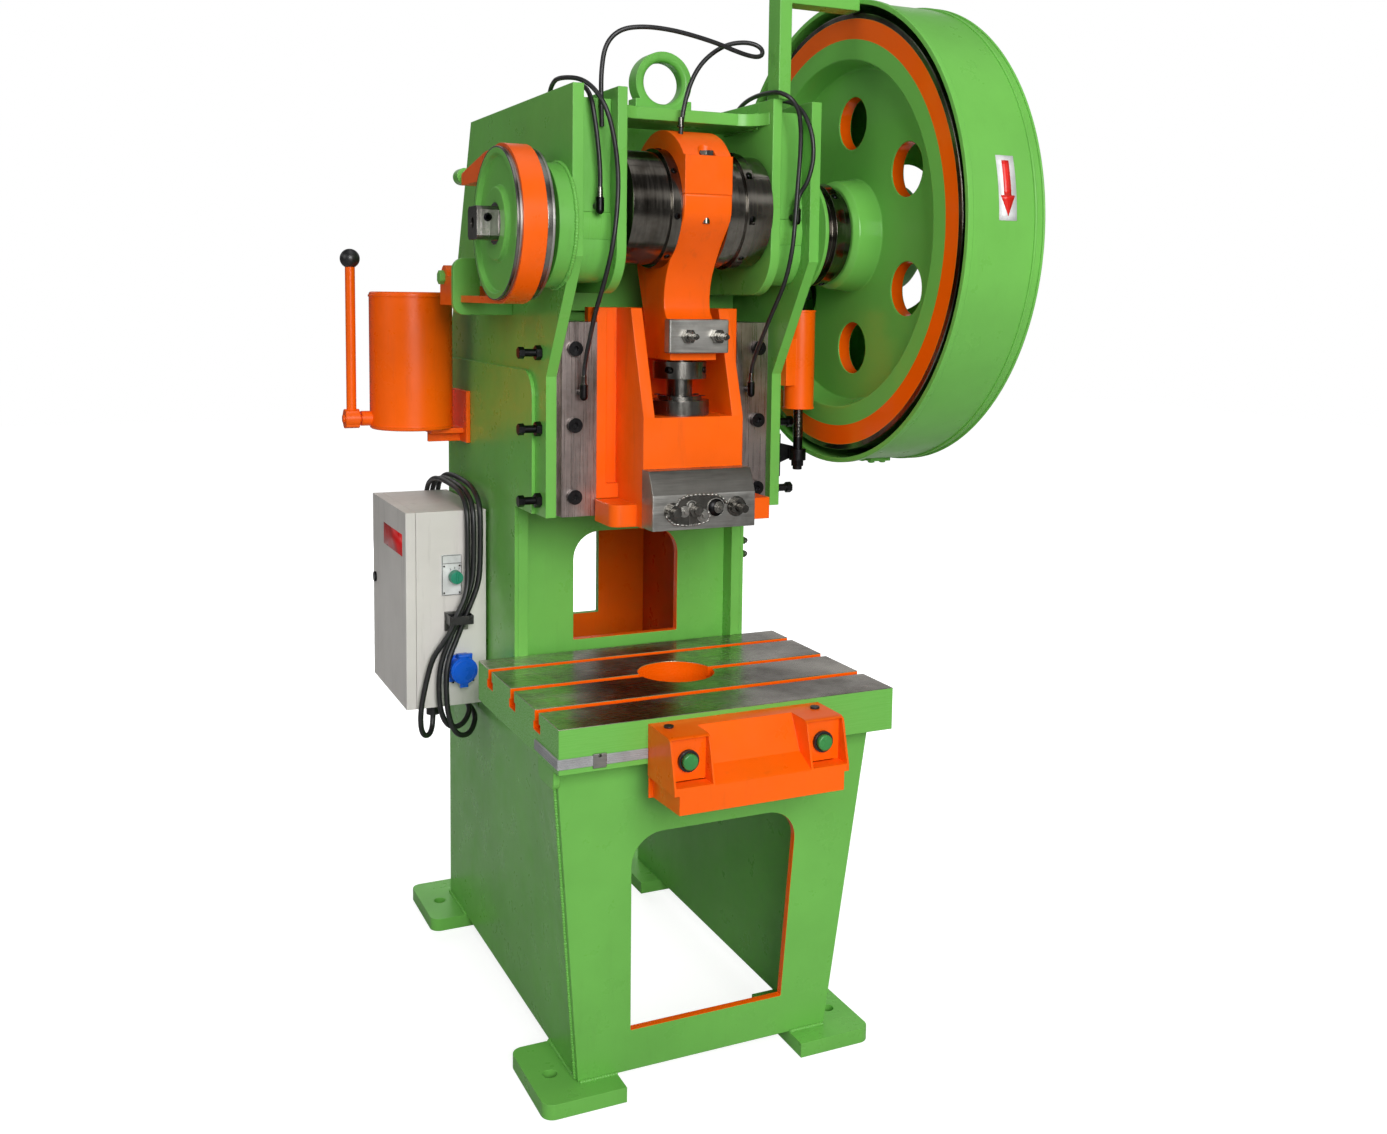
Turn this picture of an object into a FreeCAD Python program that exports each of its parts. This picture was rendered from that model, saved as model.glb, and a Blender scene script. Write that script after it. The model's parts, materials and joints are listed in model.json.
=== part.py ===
"""Open-front mechanical press: welded frame, crank drive, slide, flywheel and equipment.

Origin: on the floor, at the centre of the four anchor holes. +X right, +Y back, +Z up. Millimetres.
"""
import FreeCAD, Part
import math
import os
import re
import Sketcher
from FreeCAD import Rotation, Vector

doc = FreeCAD.newDocument("StampingPress")
sheet = doc.addObject("Spreadsheet::Sheet", "Sizes")

# Sizes. Each is written once; one that starts with = keeps its distance from another size.
sizes = {
    # feet and anchor holes
    "anchorSpanX": "=2 * frameHalf + 94",
    "anchorSpanY": 835,
    "anchorHoleRadius": 14,
    "footLength": 218,
    "footWidth": 165,
    "footEdge": 45,
    "footShift": 6,
    "footThick": 30,
    "footCorner": 24,
    # main side plates
    "frameHalf": 263,
    "plateThick": 22,
    "claddingThick": 8,
    "frameBack": 460,
    "backBreakHeight": "=axisHeight - 214",
    "headBack": 283,
    "headTop": "=axisHeight + 257",
    "cheekFront": -394,
    "cheekKneeHeight": "=axisHeight - 59",
    "gibFront": -247,
    "gibKneeHeight": "=axisHeight - 292",
    "gibBottom": "=axisHeight - 574",
    # base
    "baseFront": -469,
    "baseLean": 46,
    "frontPlateThick": 16,
    "baseHalfLow": "=frameHalf + 8",
    "baseHalfHigh": "=frameHalf + 70",
    "weldGap": 0.3,
    "baseWindowLow": 116,
    "baseWindowHigh": "=bolsterTop - 246",
    "baseWindowHalfLow": "=frameHalf - 98",
    "baseWindowHalfHigh": "=frameHalf - 85",
    "baseWindowCorner": 62,
    # bolster
    "bolsterTop": 766,
    "bolsterThick": 84,
    "bolsterFront": -575,
    "bolsterDepth": 505,
    "bolsterWidth": 700,
    "scrapHoleRadius": 79,
    "slotPitch": 150,
    "slotNeck": 22,
    "slotHead": 38,
    "slotHeadHeight": 16,
    "slotDepth": 38,
    # throat and back
    "throatPlateFront": -30,
    "throatPlateThick": 20,
    "throatPlateTop": "=axisHeight - 164",
    "throatWindowHalf": "=frameHalf - 139",
    "throatWindowLow": "=bolsterTop + 14",
    "throatWindowHigh": "=bolsterTop + 252",
    "throatWindowCorner": 60,
    "backPlateThick": 20,
    "backPlateLow": "=bolsterTop - 126",
    "backOpeningHalf": "=frameHalf - 148",
    "backOpeningLow": "=bolsterTop - 46",
    "backOpeningHigh": "=bolsterTop + 274",
    "claddingTop": "=axisHeight - 284",
    "claddingFront": -183,
    "claddingCorner": 55,
    "foldEnd": -60,
    # head
    "cheekInner": 154,
    "innerPlateThick": 20,
    "innerPlateBack": -60,
    "innerPlateLow": "=axisHeight - 127",
    "innerPlateCorner": 88,
    "housingSetback": 34,
    "bossRadius": 118,
    "bossCore": 80,
    "bossLength": 34,
    "tieThick": 24,
    "tieWidth": 150,
    "tieHeight": "=headTop - 49",
    "tieFront": -330,
    "eyeRadius": 62,
    "eyeHoleRadius": 42,
    "eyeThick": 40,
    "eyeForward": -190,
    # drive axis and throw
    "axisForward": -303,
    "axisHeight": 1664,
    "throwHalf": 20,
    "journalRadius": 50,
    "runFit": 0.06,
    "bushWall": 12,
    "pinRadius": 68,
    "sleeveRadius": 100,
    "shoulderRadius": 110,
    "shoulderEnd": "=cheekInner - 6",
    "ringRadius": 116,
    "ringThick": 20,
    "rodWidth": 100,
    "softGap": 0.3,
    # connecting rod and screw
    "rodHeadRadius": 152,
    "rodLugFront": 125,
    "rodLugTop": 96,
    "shankDepth": 90,
    "kneeDrop": 22,
    "kneeRise": 70,
    "kneeInset": 6,
    "rodFootTop": "=axisHeight - 119",
    "rodFootLow": "=axisHeight - 256",
    "rodFootDepth": 130,
    "clampPlateWidth": 128,
    "clampPlateHeight": 66,
    "clampPlateThick": 26,
    "clampPlateHeightAt": "=axisHeight - 208",
    "screwRadius": 26,
    "collarRadius": 54,
    "collarHigh": "=axisHeight - 260",
    "collarLow": "=axisHeight - 294",
    "seatRadius": 60,
    "seatThick": 30,
    # slide
    "slideHalf": "=cheekInner - 46",
    "slideFront": -375,
    "slideBack": -150,
    "slideFloor": "=axisHeight - 367",
    "slideLow": "=axisHeight - 584",
    "slideTop": "=axisHeight - 155",
    "ribFrontHigh": -305,
    "ribThick": 24,
    "slideBackWall": 30,
    "wingHalf": "=cheekInner + 2",
    "wingLow": "=slideLow + 44",
    "wingFront": -245,
    "wingBack": -175,
    "ridgeForward": -209,
    "wingBar": 22,
    "grooveDepth": 14,
    "slideFit": 0.08,
    "baseFlangeThick": 44,
    "flangeLeft": "=cheekInner + 6",
    "flangeRight": "=cheekInner + 34",
    "flangeFront": -345,
    "toolClampHalf": 110,
    "toolClampTop": "=slideLow + 117",
    "toolClampCrease": "=slideLow + 72",
    "toolClampThick": 54,
    "toolClampChamfer": 22,
    "shankHoleRadius": 25,
    # gibs
    "gibThick": 23,
    "gibTop": "=axisHeight - 184",
    "guideDepth": 130,
    # flywheel and guard
    "flywheelFace": "=frameHalf + 89",
    "flywheelWidth": 145,
    "flywheelRadius": 450,
    "rimInner": 344,
    "webFace": "=flywheelFace + 44",
    "webThick": 30,
    "webHoleRadius": 54,
    "webHolePitch": 235,
    "hubRadius": 112,
    "hubFace": "=flywheelFace - 16",
    "hubEnd": "=flywheelFace + 160",
    "collarWidth": 52,
    "clutchCollarRadius": 106,
    "guardRadius": 470,
    "guardWall": 4,
    "guardStart": "=flywheelFace - 6",
    "guardEnd": "=flywheelFace + 170",
    "guardBead": 6,
    "guardOpening": 155,
    "armWidth": 27,
    "armDepth": 48,
    "shaftRightEnd": "=flywheelFace + 156",
    # brake
    "drumFace": "=frameHalf + 122",
    "drumInner": "=frameHalf + 49",
    "drumRadius": 142,
    "drumRecess": 10,
    "shaftEndRadius": 39,
    "shaftLeftEnd": "=frameHalf + 164",
    "shaftFlat": 31,
    "bandOuter": "=frameHalf + 112",
    "bandWidth": 45,
    "bandThick": 7,
    "bandUpperReach": 212,
    "tensionHeight": "=axisHeight + 112",
    "brakePlateForward": -33,
    "brakePlateThick": 16,
    "brakePlateOuter": "=frameHalf + 128",
    "brakePlateInner": "=frameHalf + 71",
    "brakePlateTop": "=axisHeight - 58",
    "brakeShelfLow": "=axisHeight - 175",
    # oil pump tank
    "tankRadius": 94,
    "tankLeft": "=frameHalf + 131",
    "tankBack": 325,
    "tankLow": "=boxHigh + 167",
    "tankHigh": "=tankLow + 313",
    "leverLeft": "=frameHalf + 268",
    "leverRadius": 11,
    "leverTop": "=tankLow + 368",
    "ballRadius": 22,
    "pumpHeight": "=tankLow + 25",
    "leverPinRadius": 9,
    "tankPlateThick": 10,
    "tankWall": 4,
    # electric box
    "boxFront": 125,
    "boxDepth": 335,
    "boxWidth": 158,
    "boxLow": 615,
    "boxHigh": 1055,
    "doorThick": 22,
    "doorGap": 0.6,
    "doorCorner": 3,
    "wallThick": 2,
    "lockRadius": 9,
    "switchLow": 867,
    "switchStem": 5,
    "knobRadius": 15,
    "knobLong": 20,
    "socketHeight": 701,
    "lidPinRadius": 5,
    # control box
    "controlHalf": 168,
    "controlLow": "=controlSill - 53",
    "controlSill": "=bolsterTop - 95",
    "controlHigh": "=controlSill + 86",
    "controlDepth": 118,
    "hoodWidth": 80,
    "controlWall": 4,
    "palmRadius": 15,
    "palmRingRadius": 20,
    "palmStem": 6,
    "palmHeight": "=controlSill + 40",
    "palmSide": 138,
    "flatCableThick": 3,
    "flatCableLow": "=bolsterTop - 73",
    "flatCableHigh": "=bolsterTop - 54",
    "flatCableBack": 130,
    # clutch trip cylinder
    "canRadius": 32,
    "canLow": "=axisHeight - 367",
    "canHigh": "=axisHeight - 157",
    "canForward": -245,
    "canRight": "=frameHalf + 45",
    "tripRadius": 10,
    "tripTop": "=axisHeight - 108",
    "tripLow": "=axisHeight - 499",
    "tripArmThick": 10,
    # fasteners: shank, clearance of its hole, hexagon across corners, head height
    "boltRadius": 8,
    "boltClear": 0.2,
    "headRadius": 15,
    "headHeight": 12,
    "socketRadius": 6,
    "adjusterReach": "=frameHalf + 47",
    "screwGrip": 40,
    # hoses and cable
    "hoseRadius": 4.5,
    "fittingRadius": 8,
    "fittingLength": 22,
    "hoseStandoff": 7,
    "rodOilSide": 28,
    "rodOilForward": 53,
    "cableRadius": 6,
}
for row, alias in enumerate(sizes, start=1):
    sheet.set("A%d" % row, alias)
    sheet.set("B%d" % row, "0")
    sheet.setAlias("B%d" % row, alias)
for row, value in enumerate(sizes.values(), start=1):
    sheet.set("B%d" % row, str(value))
doc.recompute()

nodes = {}
word = re.compile(r"[A-Za-z]+")


def formula(text):
    """A formula in size names, as the document's expressions need it."""
    def full(match):
        name = match.group(0)
        return "Sizes." + name if name in sizes else name
    return word.sub(full, str(text))


def worth(text):
    """The present value of a formula."""
    return float(sheet.evalExpression(formula(text)))


def bind(item, prop, text):
    item.setExpression(prop, formula(text))


def node(item, label):
    """Mark an object as a finished sub-part."""
    item.Label = label
    nodes[label] = item
    return item


def put(item, x="0", y="0", z="0", turn=None):
    """Place an object; its position stays bound to the sizes."""
    if turn is not None:
        item.Placement = FreeCAD.Placement(Vector(), turn)
    for prop, text in zip("xyz", (x, y, z)):
        bind(item, "Placement.Base." + prop, text)
    return item


def box(x, y, z, length, width, height):
    item = doc.addObject("Part::Box", "Block")
    bind(item, "Length", length)
    bind(item, "Width", width)
    bind(item, "Height", height)
    return put(item, x, y, z)


alongX = Rotation(Vector(0, 1, 0), 90)
alongY = Rotation(Vector(1, 0, 0), -90)
alongZ = Rotation()


def rod(x, y, z, radius, length, turn=alongZ):
    item = doc.addObject("Part::Cylinder", "Round")
    bind(item, "Radius", radius)
    bind(item, "Height", length)
    return put(item, x, y, z, turn)


def cone(x, y, z, low, high, length, turn=alongZ):
    item = doc.addObject("Part::Cone", "Taper")
    bind(item, "Radius1", low)
    bind(item, "Radius2", high)
    bind(item, "Height", length)
    return put(item, x, y, z, turn)


def ball(x, y, z, radius):
    item = doc.addObject("Part::Sphere", "Ball")
    bind(item, "Radius", radius)
    return put(item, x, y, z)


def hexagon(x, y, z, radius, length, turn=alongZ):
    item = doc.addObject("Part::Prism", "Hexagon")
    item.Polygon = 6
    bind(item, "Circumradius", radius)
    bind(item, "Height", length)
    return put(item, x, y, z, turn)


def join(*items):
    item = doc.addObject("Part::MultiFuse", "Joined")
    item.Shapes = list(items)
    item.Refine = True
    return item


def group(*items):
    """Separate solids kept as one node."""
    item = doc.addObject("Part::Compound", "Group")
    item.Links = list(items)
    return item


def cut(base, *tools):
    item = doc.addObject("Part::Cut", "Cut")
    item.Base = base
    item.Tool = tools[0] if len(tools) == 1 else join(*tools)
    item.Refine = True
    return item


def mirrored(source):
    """The same piece on the other side of the centre plane."""
    item = doc.addObject("Part::Mirroring", "Mirrored")
    item.Source = source
    item.Normal = Vector(1, 0, 0)
    return item


def rounded(base, radius, choose):
    """Fillet the edges that the test picks."""
    doc.recompute()
    item = doc.addObject("Part::Fillet", "Rounded")
    item.Base = base
    size = worth(radius)
    picked = [(i, size, size) for i, edge in enumerate(base.Shape.Edges, start=1) if choose(edge)]
    item.Edges = picked
    return item


def runs(axis):
    """Test for a straight edge along an axis."""
    def test(edge):
        if edge.Curve.TypeId != "Part::GeomLine":
            return False
        direction = edge.tangentAt(edge.FirstParameter)
        return abs(getattr(direction, axis)) > 0.999
    return test


planes = {"XY": "XY_Plane", "XZ": "XZ_Plane", "YZ": "YZ_Plane"}


def sketchOn(body, plane, at):
    """A sketch on one of the body's own origin planes, moved along its axis."""
    sketch = body.newObject("Sketcher::SketchObject", "Outline")
    origin = [f for f in body.Origin.OriginFeatures if f.Role == planes[plane]][0]
    sketch.AttachmentSupport = [(origin, "")]
    sketch.MapMode = "FlatFace"
    sign = "-" if plane == "XZ" else ""
    bind(sketch, "AttachmentOffset.Base.z", "%s(%s)" % (sign, at))
    return sketch


def hold(sketch, kind, *args):
    """A dimension that is bound to a formula."""
    text = args[-1]
    value = worth(text)
    index = sketch.addConstraint(Sketcher.Constraint(kind, *args[:-1], value))
    bind(sketch, "Constraints[%d]" % index, text)


def polygon(sketch, corners):
    """A closed outline whose every corner is held by two bound distances."""
    first = sketch.GeometryCount
    spots = [Vector(worth(a), worth(b), 0) for a, b in corners]
    count = len(spots)
    for i, spot in enumerate(spots):
        sketch.addGeometry(Part.LineSegment(spot, spots[(i + 1) % count]))
    for i in range(count):
        sketch.addConstraint(Sketcher.Constraint("Coincident", first + i, 2, first + (i + 1) % count, 1))
    for i, (a, b) in enumerate(corners):
        hold(sketch, "DistanceX", -1, 1, first + i, 1, a)
        hold(sketch, "DistanceY", -1, 1, first + i, 1, b)


def circle(sketch, a, b, radius):
    spot = Vector(worth(a), worth(b), 0)
    index = sketch.addGeometry(Part.Circle(spot, Vector(0, 0, 1), worth(radius)))
    hold(sketch, "Radius", index, radius)
    hold(sketch, "DistanceX", -1, 1, index, 3, a)
    hold(sketch, "DistanceY", -1, 1, index, 3, b)


def prism(plane, corners, start, length, holes=()):
    """A plate padded along the plane's axis from start, with round holes."""
    body = doc.addObject("PartDesign::Body", "Plate")
    sketch = sketchOn(body, plane, start)
    polygon(sketch, corners)
    for a, b, radius in holes:
        circle(sketch, a, b, radius)
    pad = body.newObject("PartDesign::Pad", "Pad")
    pad.Profile = sketch
    pad.Reversed = plane == "XZ"
    bind(pad, "Length", length)
    return body


def turned(corners, x="0", y="axisForward", z="axisHeight", turn=None):
    """A round piece: its half section (along, radius) turned about the X axis, then placed."""
    body = doc.addObject("PartDesign::Body", "Turned")
    sketch = sketchOn(body, "XY", "0")
    polygon(sketch, corners)
    spin = body.newObject("PartDesign::Revolution", "Revolution")
    spin.Profile = sketch
    spin.ReferenceAxis = (sketch, ["H_Axis"])
    spin.Angle = 360
    return put(body, x, y, z, turn)


def feature(label, shape):
    """A piece whose shape is worked out from the sizes with the kernel's own functions."""
    item = doc.addObject("Part::Feature", "Formed")
    item.Shape = shape
    return node(item, label)


def pocket(body, plane, corners, start, length, holes=()):
    """Cut an outline out of a body, along the plane's axis from start."""
    sketch = sketchOn(body, plane, start)
    if corners:
        polygon(sketch, corners)
    for a, b, radius in holes:
        circle(sketch, a, b, radius)
    item = body.newObject("PartDesign::Pocket", "Pocket")
    item.Profile = sketch
    item.Reversed = plane != "XZ"
    bind(item, "Length", length)
    return body


def soften(body, radius, choose):
    """Round the edges of a body that the test picks."""
    doc.recompute()
    tip = body.Tip
    names = ["Edge%d" % i for i, edge in enumerate(tip.Shape.Edges, start=1) if choose(edge)]
    item = body.newObject("PartDesign::Fillet", "Fillet")
    item.Base = (tip, names)
    bind(item, "Radius", radius)
    return body


def middle(edge):
    return edge.valueAt((edge.FirstParameter + edge.LastParameter) / 2)


def along(axis, choose=None):
    """Test for a straight edge along an axis whose middle passes the second test."""
    def test(edge):
        return runs(axis)(edge) and (choose is None or choose(middle(edge)))
    return test


def rectangle(lowA, lowB, highA, highB):
    return [(lowA, lowB), (highA, lowB), (highA, highB), (lowA, highB)]


def bored(item, radius, x, length):
    """Bore a piece for the drive shaft, from x to the right."""
    return cut(item, rod(x, "axisForward", "axisHeight", radius, length, alongX))


def fromX(side, near, far):
    """Start and length of a span between two distances from the centre plane."""
    start = near if side > 0 else "-(%s)" % far
    return start, "(%s) - (%s)" % (far, near)


def boltAlong(axis, x, y, z, length, out=1, head="headRadius", high="headHeight", shank="boltRadius"):
    """A bolt with a six-sided head; the shank runs from the seat into the work, the head stands out."""
    turn = {"x": alongX, "y": alongY, "z": alongZ}[axis]
    spot = {"x": x, "y": y, "z": z}
    seat = spot[axis]
    headSpot = dict(spot)
    shankSpot = dict(spot)
    headSpot[axis] = seat if out > 0 else "%s - (%s)" % (seat, high)
    shankSpot[axis] = "%s - (%s)" % (seat, length) if out > 0 else seat
    cap = hexagon(headSpot["x"], headSpot["y"], headSpot["z"], head, high, turn)
    stem = rod(shankSpot["x"], shankSpot["y"], shankSpot["z"], shank, length, turn)
    return join(cap, stem)


def capScrew(x, y, z, length):
    """A socket-head screw whose head stands out of a front face."""
    head = rod(x, "%s - headHeight" % y, z, "headRadius", "headHeight", alongY)
    stem = rod(x, y, z, "boltRadius", length, alongY)
    recess = hexagon(x, "%s - headHeight - 1" % y, z, "socketRadius", "headHeight * 0.7", alongY)
    return cut(join(head, stem), recess)


# Base and frame
bolsterLow = "(bolsterTop - bolsterThick)"
bolsterBack = "(bolsterFront + bolsterDepth)"
plateInner = "(frameHalf - plateThick)"
claddingOuter = "(frameHalf + claddingThick)"

feet = []
for sideways in (-1, 1):
    for lengthways in (-1, 1):
        holeX = "%d * anchorSpanX / 2" % sideways
        holeY = "%d * anchorSpanY / 2" % lengthways
        outer = "%s + %d * footEdge" % (holeX, sideways)
        inner = "%s - %d * (footWidth - footEdge)" % (holeX, sideways)
        low = "%s + footShift - footLength / 2" % holeY
        high = "%s + footShift + footLength / 2" % holeY
        foot = prism("XY", rectangle(inner, low, outer, high), "0", "footThick",
                     holes=[(holeX, holeY, "anchorHoleRadius")])
        edgeX = worth("anchorSpanX / 2")
        soften(foot, "footCorner", along("z", lambda p, e=edgeX: abs(p.x) > e))
        feet.append(foot)
node(group(*feet), "foot_plates")

plateFrontLow = "(baseFront + frontPlateThick + weldGap)"
plateFrontHigh = "(baseFront - baseLean + frontPlateThick + weldGap)"
sideOutline = [
    (plateFrontLow, "footThick"),
    ("frameBack", "footThick"),
    ("frameBack", "backBreakHeight"),
    ("headBack", "headTop"),
    ("cheekFront", "headTop"),
    ("cheekFront", "cheekKneeHeight"),
    ("gibFront", "gibKneeHeight"),
    ("gibFront", "gibBottom"),
    (bolsterBack, "gibBottom"),
    (bolsterBack, bolsterLow),
    (plateFrontHigh, bolsterLow),
]
bossHole = [("axisForward", "axisHeight", "bossCore + weldGap")]
gibHeights = ["(cheekKneeHeight - 178)", "(cheekKneeHeight - 330)", "(cheekKneeHeight - 474)"]
adjusterY = "(gibFront + 34)"


def drilled(side):
    """The main plate with the holes that its adjusting bolts pass through."""
    start = "-frameHalf" if side < 0 else plateInner
    holes = list(bossHole)
    for z in gibHeights:
        holes.append((adjusterY, z + " - 9", "boltRadius + boltClear"))
    return prism("YZ", sideOutline, start, "plateThick", holes=holes)


node(drilled(-1), "side_plate_left")
node(drilled(1), "side_plate_right")

claddingOutline = [
    (plateFrontLow, "footThick"),
    ("frameBack", "footThick"),
    ("frameBack", "claddingTop"),
    ("claddingFront", "claddingTop"),
    ("claddingFront", "gibBottom"),
    (bolsterBack, "gibBottom"),
    (bolsterBack, bolsterLow),
    ("foldEnd", bolsterLow),
]


def flare():
    """The front of the right cladding, folded outwards to meet the wide top of the front plate."""
    x = worth("frameHalf")
    out = worth("baseHalfHigh - claddingThick")
    low = Vector(x, worth(plateFrontLow), worth("footThick"))
    back = Vector(x, worth("foldEnd"), worth(bolsterLow))
    corner = Vector(out, worth(plateFrontHigh), worth(bolsterLow))
    face = Part.Face(Part.makePolygon([low, back, corner, low]))
    return face.extrude(Vector(worth("claddingThick"), 0, 0))


flat = prism("YZ", claddingOutline, "frameHalf", "claddingThick")
cornerY = worth("claddingFront")
cornerZ = worth("claddingTop")
soften(flat, "claddingCorner", along("x", lambda p: abs(p.y - cornerY) < 1 and abs(p.z - cornerZ) < 1))
fold = doc.addObject("Part::Feature", "Fold")
fold.Shape = flare()
claddingRight = join(flat, fold)
node(group(mirrored(claddingRight), claddingRight), "cladding_plates")

baseHeight = "(%s - footThick)" % bolsterLow
leanAngle = "atan(baseLean / %s)" % baseHeight
slant = "((%s - frontPlateThick * sin(%s)) / cos(%s))" % (baseHeight, leanAngle, leanAngle)
frontPlate = prism("XZ", [
    ("-baseHalfLow", "0"),
    ("baseHalfLow", "0"),
    ("baseHalfHigh", slant),
    ("-baseHalfHigh", slant),
], "0", "frontPlateThick")
windowLow = "baseWindowLow - footThick"
windowHigh = "baseWindowHigh - footThick"
pocket(frontPlate, "XZ", [
    ("-baseWindowHalfLow", windowLow),
    ("baseWindowHalfLow", windowLow),
    ("baseWindowHalfHigh", windowHigh),
    ("-baseWindowHalfHigh", windowHigh),
], "-1", "frontPlateThick + 2")
windowTop = worth(windowHigh)
soften(frontPlate, "baseWindowCorner", along("y", lambda p: abs(p.z - windowTop) < 1))
put(frontPlate, "0", "baseFront", "footThick", Rotation(Vector(1, 0, 0), worth(leanAngle)))
bind(frontPlate, "Placement.Rotation.Angle", leanAngle)
node(frontPlate, "base_front_plate")

throat = prism("XZ", rectangle("-" + plateInner, bolsterLow, plateInner, "throatPlateTop"),
               "throatPlateFront", "throatPlateThick")
pocket(throat, "XZ", rectangle("-throatWindowHalf", "throatWindowLow", "throatWindowHalf",
                               "throatWindowHigh"), "throatPlateFront - 1", "throatPlateThick + 2")
windowTop = worth("throatWindowHigh")
soften(throat, "throatWindowCorner", along("y", lambda p: abs(p.z - windowTop) < 1))
node(throat, "throat_plate")

back = prism("XZ", rectangle("-" + plateInner, "backPlateLow", plateInner, "backBreakHeight"),
             "frameBack - backPlateThick", "backPlateThick")
pocket(back, "XZ", rectangle("-backOpeningHalf", "backOpeningLow", "backOpeningHalf",
                             "backOpeningHigh"), "frameBack - backPlateThick - 1", "backPlateThick + 2")
node(back, "back_plate")

# bolster with three T-slots along X and the scrap hole
bolster = box("-bolsterWidth / 2", "bolsterFront", bolsterLow,
              "bolsterWidth", "bolsterDepth", "bolsterThick")
slots = []
for place in (-1, 0, 1):
    middleY = "(axisForward + %d * slotPitch)" % place
    slots.append(box("-bolsterWidth / 2 - 1", middleY + " - slotNeck / 2", "bolsterTop - slotDepth",
                     "bolsterWidth + 2", "slotNeck", "slotDepth + 1"))
    slots.append(box("-bolsterWidth / 2 - 1", middleY + " - slotHead / 2", "bolsterTop - slotDepth",
                     "bolsterWidth + 2", "slotHead", "slotHeadHeight"))
scrapHole = rod("0", "axisForward", bolsterLow + " - 1", "scrapHoleRadius", "bolsterThick + 2")
node(cut(bolster, scrapHole, *slots), "bolster")

# Head
innerOutline = rectangle("cheekFront", "innerPlateLow", "innerPlateBack", "headTop")
housingOutline = rectangle("cheekFront + housingSetback", "innerPlateLow + innerPlateThick",
                           "innerPlateBack", "headTop - innerPlateThick")


def frontLow(p):
    return p.z < worth("innerPlateLow + innerPlateThick") + 1 and p.y < worth("axisForward")


bushOuter = "(journalRadius + bushWall)"
innerPlates = []
housings = []
bushes = []
for side, bossEnd in ((-1, "frameHalf + bossLength"), (1, "frameHalf + claddingThick")):
    start = "cheekInner" if side > 0 else "-cheekInner - innerPlateThick"
    plate = prism("YZ", innerOutline, start, "innerPlateThick",
                  holes=[("axisForward", "axisHeight", bushOuter + " + runFit")])
    innerPlates.append(soften(plate, "innerPlateCorner", along("x", frontLow)))
    deep = "(%s - cheekInner - innerPlateThick)" % plateInner
    start = "cheekInner + innerPlateThick" if side > 0 else "-" + plateInner
    block = soften(prism("YZ", housingOutline, start, deep),
                   "innerPlateCorner - innerPlateThick", along("x", frontLow))
    coreStart, coreLength = fromX(side, plateInner, bossEnd)
    core = rod(coreStart, "axisForward", "axisHeight", "bossCore", coreLength, alongX)
    flangeStart, flangeLength = fromX(side, "frameHalf", bossEnd)
    bossFlange = rod(flangeStart, "axisForward", "axisHeight", "bossRadius", flangeLength, alongX)
    housings.append(bored(join(block, core, bossFlange), bushOuter + " + runFit", "-600", "1200"))
    bushStart = "cheekInner" if side > 0 else "-(%s)" % bossEnd
    bush = rod(bushStart, "axisForward", "axisHeight", bushOuter, "%s - cheekInner" % bossEnd, alongX)
    bushes.append(bored(bush, "journalRadius + runFit", "-600", "1200"))
node(group(*innerPlates), "cheek_plates")
node(housings[0], "bearing_housing_left")
node(housings[1], "bearing_housing_right")
node(group(*bushes), "main_bushes")

# Top of the head
tieSpan = "2 * cheekInner"
node(box("-cheekInner", "tieFront", "tieHeight", tieSpan, "tieWidth", "tieThick"), "tie_plate")
tieTop = "(tieHeight + tieThick)"
eyeCentre = "(%s + eyeRadius + 6)" % tieTop
eyeRing = rod("0", "eyeForward - eyeThick / 2", eyeCentre, "eyeRadius", "eyeThick", alongY)
eyeFoot = box("-eyeRadius", "eyeForward - eyeThick / 2", tieTop,
              "2 * eyeRadius", "eyeThick", "eyeRadius * 0.55")
eyeHole = rod("0", "eyeForward - eyeThick", eyeCentre, "eyeHoleRadius", "2 * eyeThick", alongY)
node(rounded(cut(join(eyeRing, eyeFoot), eyeHole), "eyeThick / 4",
             lambda e: e.Curve.TypeId == "Part::GeomCircle" and e.Curve.Radius < worth("eyeRadius") - 1),
     "lifting_eye")

# Gibs and guides
gibInner = "(wingHalf + slideFit)"
gibBack = "(gibFront + gibThick)"
gibScrewX = "(%s + (%s - 11 - %s) * 0.66)" % (gibInner, plateInner, gibInner)
ridgeHalf = "(grooveDepth - 1)"


def guideBlock(side):
    """A fixed block behind the gib plate, with a pointed ridge that enters the slide's groove."""
    x = [gibInner, gibInner + " - grooveDepth", gibInner]
    y = ["ridgeForward - %s" % ridgeHalf, "ridgeForward", "ridgeForward + %s" % ridgeHalf]
    outline = [
        (gibInner, gibBack),
        (plateInner, gibBack),
        (plateInner, gibBack + " + guideDepth"),
        (gibInner, gibBack + " + guideDepth"),
        (x[2], y[2]),
        (x[1], y[1]),
        (x[0], y[0]),
    ]
    body = prism("XY", [("%d * (%s)" % (side, a), b) for a, b in outline], "gibBottom", "gibTop - gibBottom")
    holes = []
    for z in gibHeights:
        holes.append(rod("%d * %s" % (side, gibScrewX), gibBack + " - 1", z,
                         "boltRadius + boltClear", "screwGrip + 1", alongY))
    return cut(body, *holes)


def gibPlate(side):
    start, wide = fromX(side, gibInner, "frameHalf - plateThick - 11")
    plate = box(start, "gibFront", "gibBottom", wide, "gibThick", "gibTop - gibBottom")
    holes = []
    for z in gibHeights:
        holes.append(rod("%d * %s" % (side, gibScrewX), "gibFront - 1", z,
                         "boltRadius + boltClear", "gibThick + 2", alongY))
    return cut(plate, *holes)


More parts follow.
